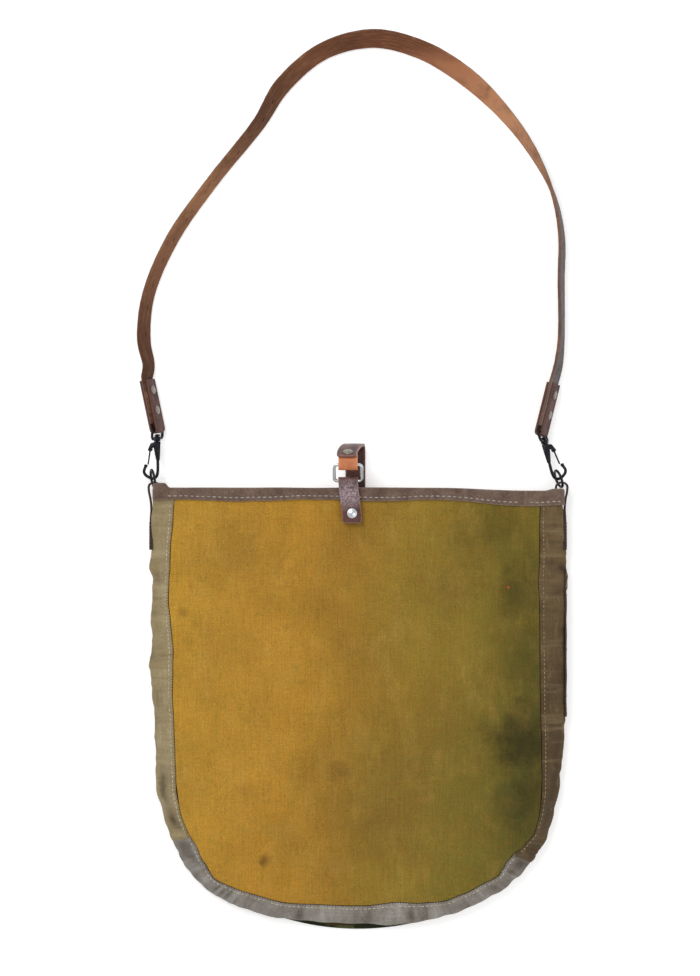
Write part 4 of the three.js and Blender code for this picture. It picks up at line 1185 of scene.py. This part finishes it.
def makeSideTab(name, side):
    layer = sideTab["leather"] / mm + 0.2
    places = [(204.8, sideTab["lowY"]), (204.6, 185), (203.6, 197), (199.2, 207), (197.0, 217)]
    for k in range(1, 8):
        turn = math.pi * (1 - k / 8)
        places.append((202.9 + 5.9 * math.cos(turn), 219.5 + 5.6 * math.sin(turn)))
    places += [(208.2, 216), (206.6, 208), (205.8, 199), (204.4 + layer, 187)]
    places.append((204.8 + layer, sideTab["lowY"]))
    points = [(side["sign"] * x * mm, y * mm, sideTab["z"]) for x, y in places]
    path = smoothPath(points, 90)
    outward = Vector((-side["sign"], 0, 0))
    bm = flatBand(path, up, sideTab["width"], sideTab["leather"], outward, across=6, bevel=0.45 * mm)
    finishPiece("sideTab" + name, bm, "sack", "dark_leather", finish["sideTab"],
                ["side_tab_" + name.lower()])

    rows = bmesh.new()
    away = rightward * side["sign"]
    for z in (sideTab["z"] - 3.4 * mm, sideTab["z"] + 3.4 * mm):
        row = [Vector((side["sign"] * (204.75 + layer + 0.95) * mm, y * mm, z)) for y in range(160, 188, 2)]
        joinInto(rows, stitchAlong(row, [away] * len(row), 3.2 * mm, 2.4 * mm, 0.35 * mm))
    finishPiece("sideTabStitch" + name, rows, "sack", "dark_leather", finish["greyThread"])


def makeRing(name, side):
    flat = up.cross(side["away"])
    normal = Matrix.Rotation(math.radians(side["ringTilt"]), 3, side["away"]) @ flat
    across = normal.cross(side["away"]).normalized()
    path = []
    for k in range(64):
        turn = 2 * math.pi * k / 64
        spoke = side["away"] * math.cos(turn) + across * math.sin(turn)
        path.append(side["centre"] + spoke * ring["radius"])
    bm = tubeMesh(path, ring["wire"], True)
    finishPiece("ring" + name, bm, name.lower() + "_ring", "black_metal", finish["black"],
                ["ring_" + name.lower()])


def makeHook(name, side):
    def at(place, z=0.0):
        return side["origin"] + side["out"] * place[0] * mm + side["up"] * place[1] * mm + up * z

    def plate(outline, low, high):
        bm = bmesh.new()
        face = bm.faces.new([bm.verts.new(at(place, low)) for place in outline])
        grown = bmesh.ops.extrude_face_region(bm, geom=[face])["geom"]
        risen = [item for item in grown if isinstance(item, bmesh.types.BMVert)]
        bmesh.ops.translate(bm, verts=risen, vec=up * (high - low))
        bmesh.ops.recalc_face_normals(bm, faces=bm.faces[:])
        roundEdges(bm, 0.45 * mm, least=0.2)
        return bm
    low = name.lower()
    bm = tubeMesh(smoothPath([at(place) for place in hook["spine"]], 60), hook["wire"])
    tip = [(0, -0.2), (1.5, -0.2), (2.0, 0.7), (1.9, 1.7), (1.2, 2.5), (0, 2.7)]
    joinInto(bm, turnedMesh(tip, at((11.1, 11)), side["up"] - side["out"] * 0.3, 20))
    for start, end in ((-2.5, -1.6), (1.6, 2.5)):
        joinInto(bm, plate(hook["cheek"], start * mm, end * mm))
    joinInto(bm, plate(hook["core"], -1.7 * mm, 1.7 * mm))
    swivel = [(0, -2), (1.6, -2), (1.6, 5.9), (2.5, 6.0), (2.8, 6.5), (2.6, 7.3), (1.6, 7.7), (0, 7.8)]
    joinInto(bm, turnedMesh(swivel, at((0, 36)), side["up"]))
    collar = [(0, -0.3), (3.1, -0.3), (3.3, 0.1), (3.1, 0.55), (0, 0.6)]
    joinInto(bm, turnedMesh(collar, at((0, 36)), side["up"]))
    finishPiece("hookBody" + name, bm, low + "_hook", "black_metal", finish["black"], ["hook_body_" + low])

    barrel = [(0, -1.3), (1.8, -1.3), (2.1, -1.0), (2.1, 1.0), (1.8, 1.3), (0, 1.3)]
    bm = turnedMesh(barrel, at(hook["gatePivot"]), up)
    gate = smoothPath([at((6.8, 27.4)), at((7.5, 22)), at((8.1, 17)), at(hook["gateTip"])], 24)
    joinInto(bm, tubeMesh(gate, 0.8 * mm, sides=12))
    finishPiece("hookGate" + name, bm, low + "_gate", "black_metal", finish["black"], ["hook_gate_" + low])

    w, wide = hook["eyeHalf"], side["wide"]
    corners = [(-w + 1.5 * mm, 49), (w - 1.5 * mm, 49), (w, 47.5), (w, 41.4), (w - 2 * mm, 39.4),
               (2 * mm - w, 39.4), (-w, 41.4), (-w, 47.5)]
    loop = [side["eye"] + wide * a + side["up"] * (v - 49) * mm for a, v in corners]
    loop = evenPath(loop + [loop[0]], 96)[:-1]
    bm = tubeMesh(loop, hook["eyeWire"], True)
    block = [(2.0, 0.8), (3.0, 0.8), (3.4, 1.2), (3.4, 5.2), (3.0, 5.6), (2.0, 5.6), (2.0, 0.8)]
    joinInto(bm, turnedMesh(block, at((0, 36)), side["up"]))
    finishPiece("hookEye" + name, bm, "strap", "black_metal", finish["black"], ["hook_eye_" + low])


def makeStrapEnd(name, side):
    # a folded leather end, two rivets through it and a row of sewing along each edge of both faces
    def at(s, n):
        return side["eye"] + side["along"] * s + side["face"] * n
    low = name.lower()
    layer = strap["thick"] / 2 + 0.3 * mm + strapEnd["leather"] / 2
    path = [at(strapEnd["length"] * k / 12, layer) for k in range(12, 0, -1)]
    path += [at(-layer * math.sin(math.pi * k / 16), layer * math.cos(math.pi * k / 16)) for k in range(17)]
    path += [at(strapEnd["length"] * k / 12, -layer) for k in range(1, 13)]
    path = evenPath(path, 120)
    bm = flatBand(path, side["wide"], strapEnd["width"], strapEnd["leather"], side["face"], bevel=0.5 * mm)
    finishPiece("strapEnd" + name, bm, "strap", "end_leather", finish["endTab"], ["strap_end_" + low])
    reach = (layer + strapEnd["leather"] / 2) / mm + 0.1
    dome = [(0, reach + 1.7), (1.6, reach + 1.6), (3.2, reach + 1.1), (4.3, reach + 0.4), (4.5, reach),
            (4.3, reach - 0.15), (2, reach - 0.15)]
    profile = dome + [(r, -h) for r, h in reversed(dome)]
    for k, s in enumerate(strapEnd["rivets"]):
        bm = turnedMesh(profile, at(s * mm, 0), side["face"], 28)
        finishPiece("strapRivet" + name + str(k + 1), bm, "strap", "nickel", finish["rivet"],
                    [f"strap_rivet_{low}_{k + 1}"])
    rows = bmesh.new()
    for edge in (-1, 1):
        for n in (-1, 1):
            shift = side["wide"] * edge * (strapEnd["width"] / 2 - 2.2 * mm)
            row = [at((4 + 1.4 * k) * mm, n * (layer + strapEnd["leather"] / 2)) + shift for k in range(32)]
            normals = [side["face"] * n] * len(row)
            joinInto(rows, stitchAlong(row, normals, 3.4 * mm, 2.2 * mm, 0.32 * mm))
    finishPiece("strapEndStitch" + name, rows, "strap", "end_leather", finish["darkThread"])


for name, side in (("Left", sides["left"]), ("Right", sides["right"])):
    sideFrame(side)
    makeSideTab(name, side)
    makeRing(name, side)
    makeHook(name, side)
    makeStrapEnd(name, side)
print("rings, hooks and strap ends made")


# shoulder strap

# where the strap's middle line runs, in mm, and how far it leans there, in degrees
strapRoute = [
    (-208.5, 341, 24), (-213.5, 367, 29), (-209, 412, 25), (-185, 468, 26), (-145.5, 524.5, 23),
    (-98.5, 583.5, 28), (-76, 620, 42), (-35, 655, 43), (15, 668, 52), (62.5, 657, 53), (105, 632, 54),
    (141.5, 598, 31), (171.5, 559, 14), (194, 514, -6), (202.8, 472, -13), (202.5, 428, -14),
    (202.5, 368, -13), (199.5, 342, -20),
]
# old stitch slits
slitPlaces = [
    (-85.3, 603), (-94.6, 587.3), (-105.4, 570), (-117.7, 553.7), (-171, 488.5), (-184, 467), (-195, 445),
    (-203.4, 422), (-209.7, 398), (-211.7, 372.3),
]


def strapFrames():
    # the lean rides in the route's height, so that one curve smooths both
    left, right = sides["left"], sides["right"]
    leanShare = 4 / mm
    ends = []
    for side in (left, right):
        far = side["eye"] + side["along"] * 52 * mm
        ends.append((far.x, far.y, side["lean"] / leanShare))
    middle = [(x * mm, y * mm, lean / leanShare) for x, y, lean in strapRoute]
    steps = 260
    curve = smoothPath([ends[0], *middle, ends[1]], steps)
    path, wides, faces = [], [], []

    def addFrame(centre, along, lean):
        outward = Vector((-along.y, along.x, 0)).normalized()
        tip = math.radians(lean)
        path.append(centre)
        wides.append(up * math.cos(tip) + outward * math.sin(tip))
        faces.append(outward * math.cos(tip) - up * math.sin(tip))
    for k in range(12):
        addFrame(left["eye"] + left["along"] * (6 + 46 * k / 12) * mm, left["along"], left["lean"])
    runs = tangents(curve)
    for i, point in enumerate(curve):
        lean = point.z * leanShare
        tip = math.radians(abs(lean))
        resting = (strap["width"] * math.cos(tip) + strap["thick"] * math.sin(tip)) / 2
        nearEnd = ease(1 - min(i, steps - i) / (steps / 15))
        height = resting + (13 * mm - resting) * nearEnd
        along = Vector((runs[i].x, runs[i].y, 0)).normalized()
        addFrame(Vector((point.x, point.y, height)), along, lean)
    for k in range(11, -1, -1):
        addFrame(right["eye"] + right["along"] * (6 + 46 * k / 12) * mm, -right["along"], right["lean"])
    return path, wides, faces


def makeStrap():
    path, wides, faces = strapFrames()
    bm = bandMesh(path, wides, faces, strap["width"], strap["thick"], across=10, bevel=0.7 * mm,
                  edgeFade=3.2 * mm)
    outer = bm.verts.layers.float["outer"]
    for vert in bm.verts:
        ragged = waver(vert.co, 700, 1.0) * 0.16 + waver(vert.co, 160, 2.0) * 0.22
        vert.co += vert.normal * ragged * mm * (1.6 if 0.05 < vert[outer] < 0.95 else 0.7)
    piece = finishPiece("shoulderStrap", bm, None, "strap_leather", finish["strap"])

    cutters = bmesh.new()
    for x, y in slitPlaces:
        target = Vector((x * mm, y * mm, 0))
        k = min(range(len(path)), key=lambda i: (path[i].xy - target.xy).length)
        run = (path[k + 1] - path[k - 1]).normalized()
        turn = Matrix((run, wides[k], run.cross(wides[k]))).transposed().to_4x4()
        size = Matrix.Diagonal((4.2 * mm, 1.6 * mm, 14 * mm, 1))
        made = bmesh.ops.create_cube(cutters, size=1, matrix=Matrix.Translation(path[k]) @ turn @ size)
        sharp = list({edge for vert in made["verts"] for edge in vert.link_edges})
        bevelEdges(cutters, sharp, 0.5 * mm)
    cutMesh = bpy.data.meshes.new("slits")
    cutters.to_mesh(cutMesh)
    cutters.free()
    cutter = bpy.data.objects.new("slits", cutMesh)
    bpy.context.scene.collection.objects.link(cutter)
    modifier = piece.modifiers.new("slits", "BOOLEAN")
    modifier.operation = "DIFFERENCE"
    modifier.solver = "EXACT"
    modifier.object = cutter
    bpy.context.view_layer.update()
    shaped = bpy.data.meshes.new_from_object(piece.evaluated_get(bpy.context.evaluated_depsgraph_get()))
    piece.modifiers.clear()
    piece.data = shaped
    bpy.data.objects.remove(cutter)
    for polygon in shaped.polygons:
        polygon.use_smooth = True
    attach(piece, "strap")
    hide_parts("shoulder_strap")


makeStrap()
print("strap made")


# front closure

closure = {
    "x": -6 * mm, "width": 20 * mm, "leather": 3 * mm,
    "base": [(184, 1.65), (226, 1.65), (246, 1.9), (257, 4.2), (262.3, 10)],
    "upper": [(262.3, 12), (262.3, 13.4), (261.0, 20.5), (257.0, 29.5), (250.9, 40.6)],
    "ring": {"half": 15, "wire": 1.35, "corner": 3.5, "topY": 242.5, "topZ": 39, "lowY": 226.5, "lowZ": 29},
    "rivet": (253.7, 35.5), "snapY": 194.5, "tabZ": 28.8, "tabLeather": 2.2, "keeperLeather": 1.6,
    "ringShift": -4.0,
}


def closurePoints(places):
    return [Vector((closure["x"], y * mm, z * mm)) for y, z in places]


def leanOver(bm, drift):
    # the whole loop leans to one side as it rises: drift gives mm from a place in mm
    for vert in bm.verts:
        vert.co.x += drift(vert.co.y / mm, vert.co.z / mm) * mm
    return bm


def strapDrift(_, z):
    return 3.4 - 8.6 * ease((z - 4) / 34)


def ringDrift(*_):
    return closure["ringShift"]


def tabDrift(y, _):
    return -3.9 * ease((y - 186) / 44)


def makeClosureStrap():
    path = smoothPath(closurePoints(closure["base"] + closure["upper"]), 150)
    bm = flatBand(path, rightward, closure["width"], closure["leather"], -up, bevel=0.7 * mm,
                  corners=(3 * mm, 4 * mm))
    leanOver(bm, strapDrift)
    piece = finishPiece("closureStrap", bm, None, "dark_leather", finish["dark"],
                        ["closure_strap_base", "closure_strap"])
    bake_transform(piece, "sack", "closure_arm",
             start=(closure["x"], 0.2625, 0.0070), end=(closure["x"], 0.2625, 0.0175))


def makeClosureRing():
    size = closure["ring"]
    long = Vector((0, size["topY"] - size["lowY"], size["topZ"] - size["lowZ"]))
    rise, length, corner = long.normalized(), long.length, size["corner"]
    half = size["half"] - size["wire"] - corner
    path = []
    for cx, cy, start in ((half, length - corner, 0), (-half, length - corner, 90), (-half, corner, 180),
                          (half, corner, 270)):
        for k in range(9):
            turn = math.radians(start + k * 11.25)
            place = Vector((closure["x"] / mm + cx + corner * math.cos(turn), size["lowY"], size["lowZ"]))
            path.append((place + rise * (cy + corner * math.sin(turn))) * mm)
    path = evenPath(path + [path[0]], 120)[:-1]
    bm = leanOver(tubeMesh(path, (size["wire"] + 0.25) * mm, True), ringDrift)
    finishPiece("closureRing", bm, "front_ring", "nickel", finish["nickel"], ["closure_ring"])


def makeKeeper():
    size, layer = closure["ring"], closure["keeperLeather"]
    slopeUp = Vector((0, -6.1, 11.1)).normalized()
    slopeOut = Vector((0, slopeUp.z, -slopeUp.y))
    rivet = Vector((closure["x"] / mm, *closure["rivet"]))
    bar = Vector((closure["x"] / mm, size["topY"], size["topZ"]))
    room = size["wire"] + 0.5 + layer / 2
    outerLeg = -(closure["leather"] / mm / 2 + 0.3 + layer / 2)
    innerLeg = outerLeg - layer - 0.3

    def leg(s, n):
        return rivet + slopeUp * s + slopeOut * n
    points = [leg(-5, outerLeg), leg(1, outerLeg), leg(7, outerLeg), bar + Vector((0, 5, room))]
    for k in range(11):
        turn = math.pi * (0.5 + 0.105 * k)
        points.append(bar + Vector((0, (room + 2) * math.cos(turn), room * math.sin(turn))))
    points += [leg(5, innerLeg), leg(-5, innerLeg)]
    path = smoothPath([point * mm for point in points], 110)
    bm = flatBand(path, rightward, closure["width"] - 1 * mm, layer * mm, up, bevel=0.4 * mm)
    leanOver(bm, ringDrift)
    finishPiece("ringKeeper", bm, "closure_arm", "tan_leather", finish["tan"], ["ring_keeper"])

    reach, back = closure["leather"] / mm / 2 + 0.2, innerLeg - layer / 2 - 0.2
    profile = [(0, back - 1.3), (2.4, back - 1.2), (3.7, back - 0.7), (4, back), (1.6, back), (1.6, reach),
               (5, reach), (4.8, reach + 0.6), (3.4, reach + 1.3), (0, reach + 1.7)]
    bm = leanOver(turnedMesh(profile, rivet * mm, slopeOut, 32), ringDrift)
    finishPiece("keeperRivet", bm, "closure_arm", "nickel", finish["rivet"], ["keeper_rivet"])


def makeFrontTab():
    size, leather = closure["ring"], closure["tabLeather"]
    room = size["wire"] + 0.4 + leather / 2
    places = [(212, 26.6), (220.5, 26.5)]
    for k in range(9):
        turn = -math.pi / 2 + math.pi * k / 8
        places.append((size["lowY"] + room * math.cos(turn), size["lowZ"] + room * math.sin(turn)))
    places += [(219, 30.4), (212, 29.3), (204, 28.9), (184.5, 28.6)]
    path = smoothPath(closurePoints(places), 150)
    bm = flatBand(path, rightward, closure["width"] - 0.5 * mm, leather * mm, -up, bevel=0.6 * mm,
                  corners=(3 * mm, 3.4 * mm))
    leanOver(bm, tabDrift)
    finishPiece("closureTab", bm, "front_tab", "dark_leather", finish["frontTab"], ["closure_tab"])
    top, under = closure["tabZ"] + leather / 2 + 0.2, closure["tabZ"] - leather / 2 - 0.3
    profile = [(0, under), (1.6, under), (1.6, top), (5.0, top), (5.25, top + 0.35), (4.9, top + 0.95),
               (3.9, top + 1.35), (3.3, top + 1.25), (2.6, top + 1.6), (1.4, top + 1.95), (0, top + 2.05)]
    foot = Vector((closure["x"], closure["snapY"] * mm, 0))
    bm = turnedMesh(profile, foot, up, 40)
    finishPiece("snapCap", bm, "front_tab", "nickel", finish["nickel"], ["tab_snap_cap"])


def makeGussetStrip():
    x = 206.5 * mm
    path = []
    for y in range(139, -9, -1):
        path.append(Vector((x + 0.5 * mm * waver((0, y * mm, 0), 50, 5.0), y * mm, 13 * mm)))
    bm = flatBand(path, up, 10 * mm, 2 * mm, rightward, bevel=0.5 * mm)
    finishPiece("gussetStrip", bm, "sack", "dark_leather", finish["sideTab"], ["gusset_strip"])
    rows = bmesh.new()
    for y in (132, 121, 112, 58, 12, -6):
        for shift in (-0.6, 0.6):
            row = []
            for k in range(7):
                bulge = (1.5 - 0.4 * abs(k - 3)) * mm
                row.append(Vector((x + bulge, (y + shift + 0.3 * k) * mm, (8.6 + 1.5 * k) * mm)))
            joinInto(rows, tubeMesh(row, 0.45 * mm, sides=8))
    finishPiece("gussetStripThread", rows, "sack", "canvas_khaki", finish["lightThread"])


makeClosureStrap()
makeClosureRing()
makeKeeper()
makeFrontTab()
makeGussetStrip()
for node in ("tab_snap_socket", "snap_stud"):
    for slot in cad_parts[node].material_slots:
        slot.material = finish["nickel"]
print("closure made")
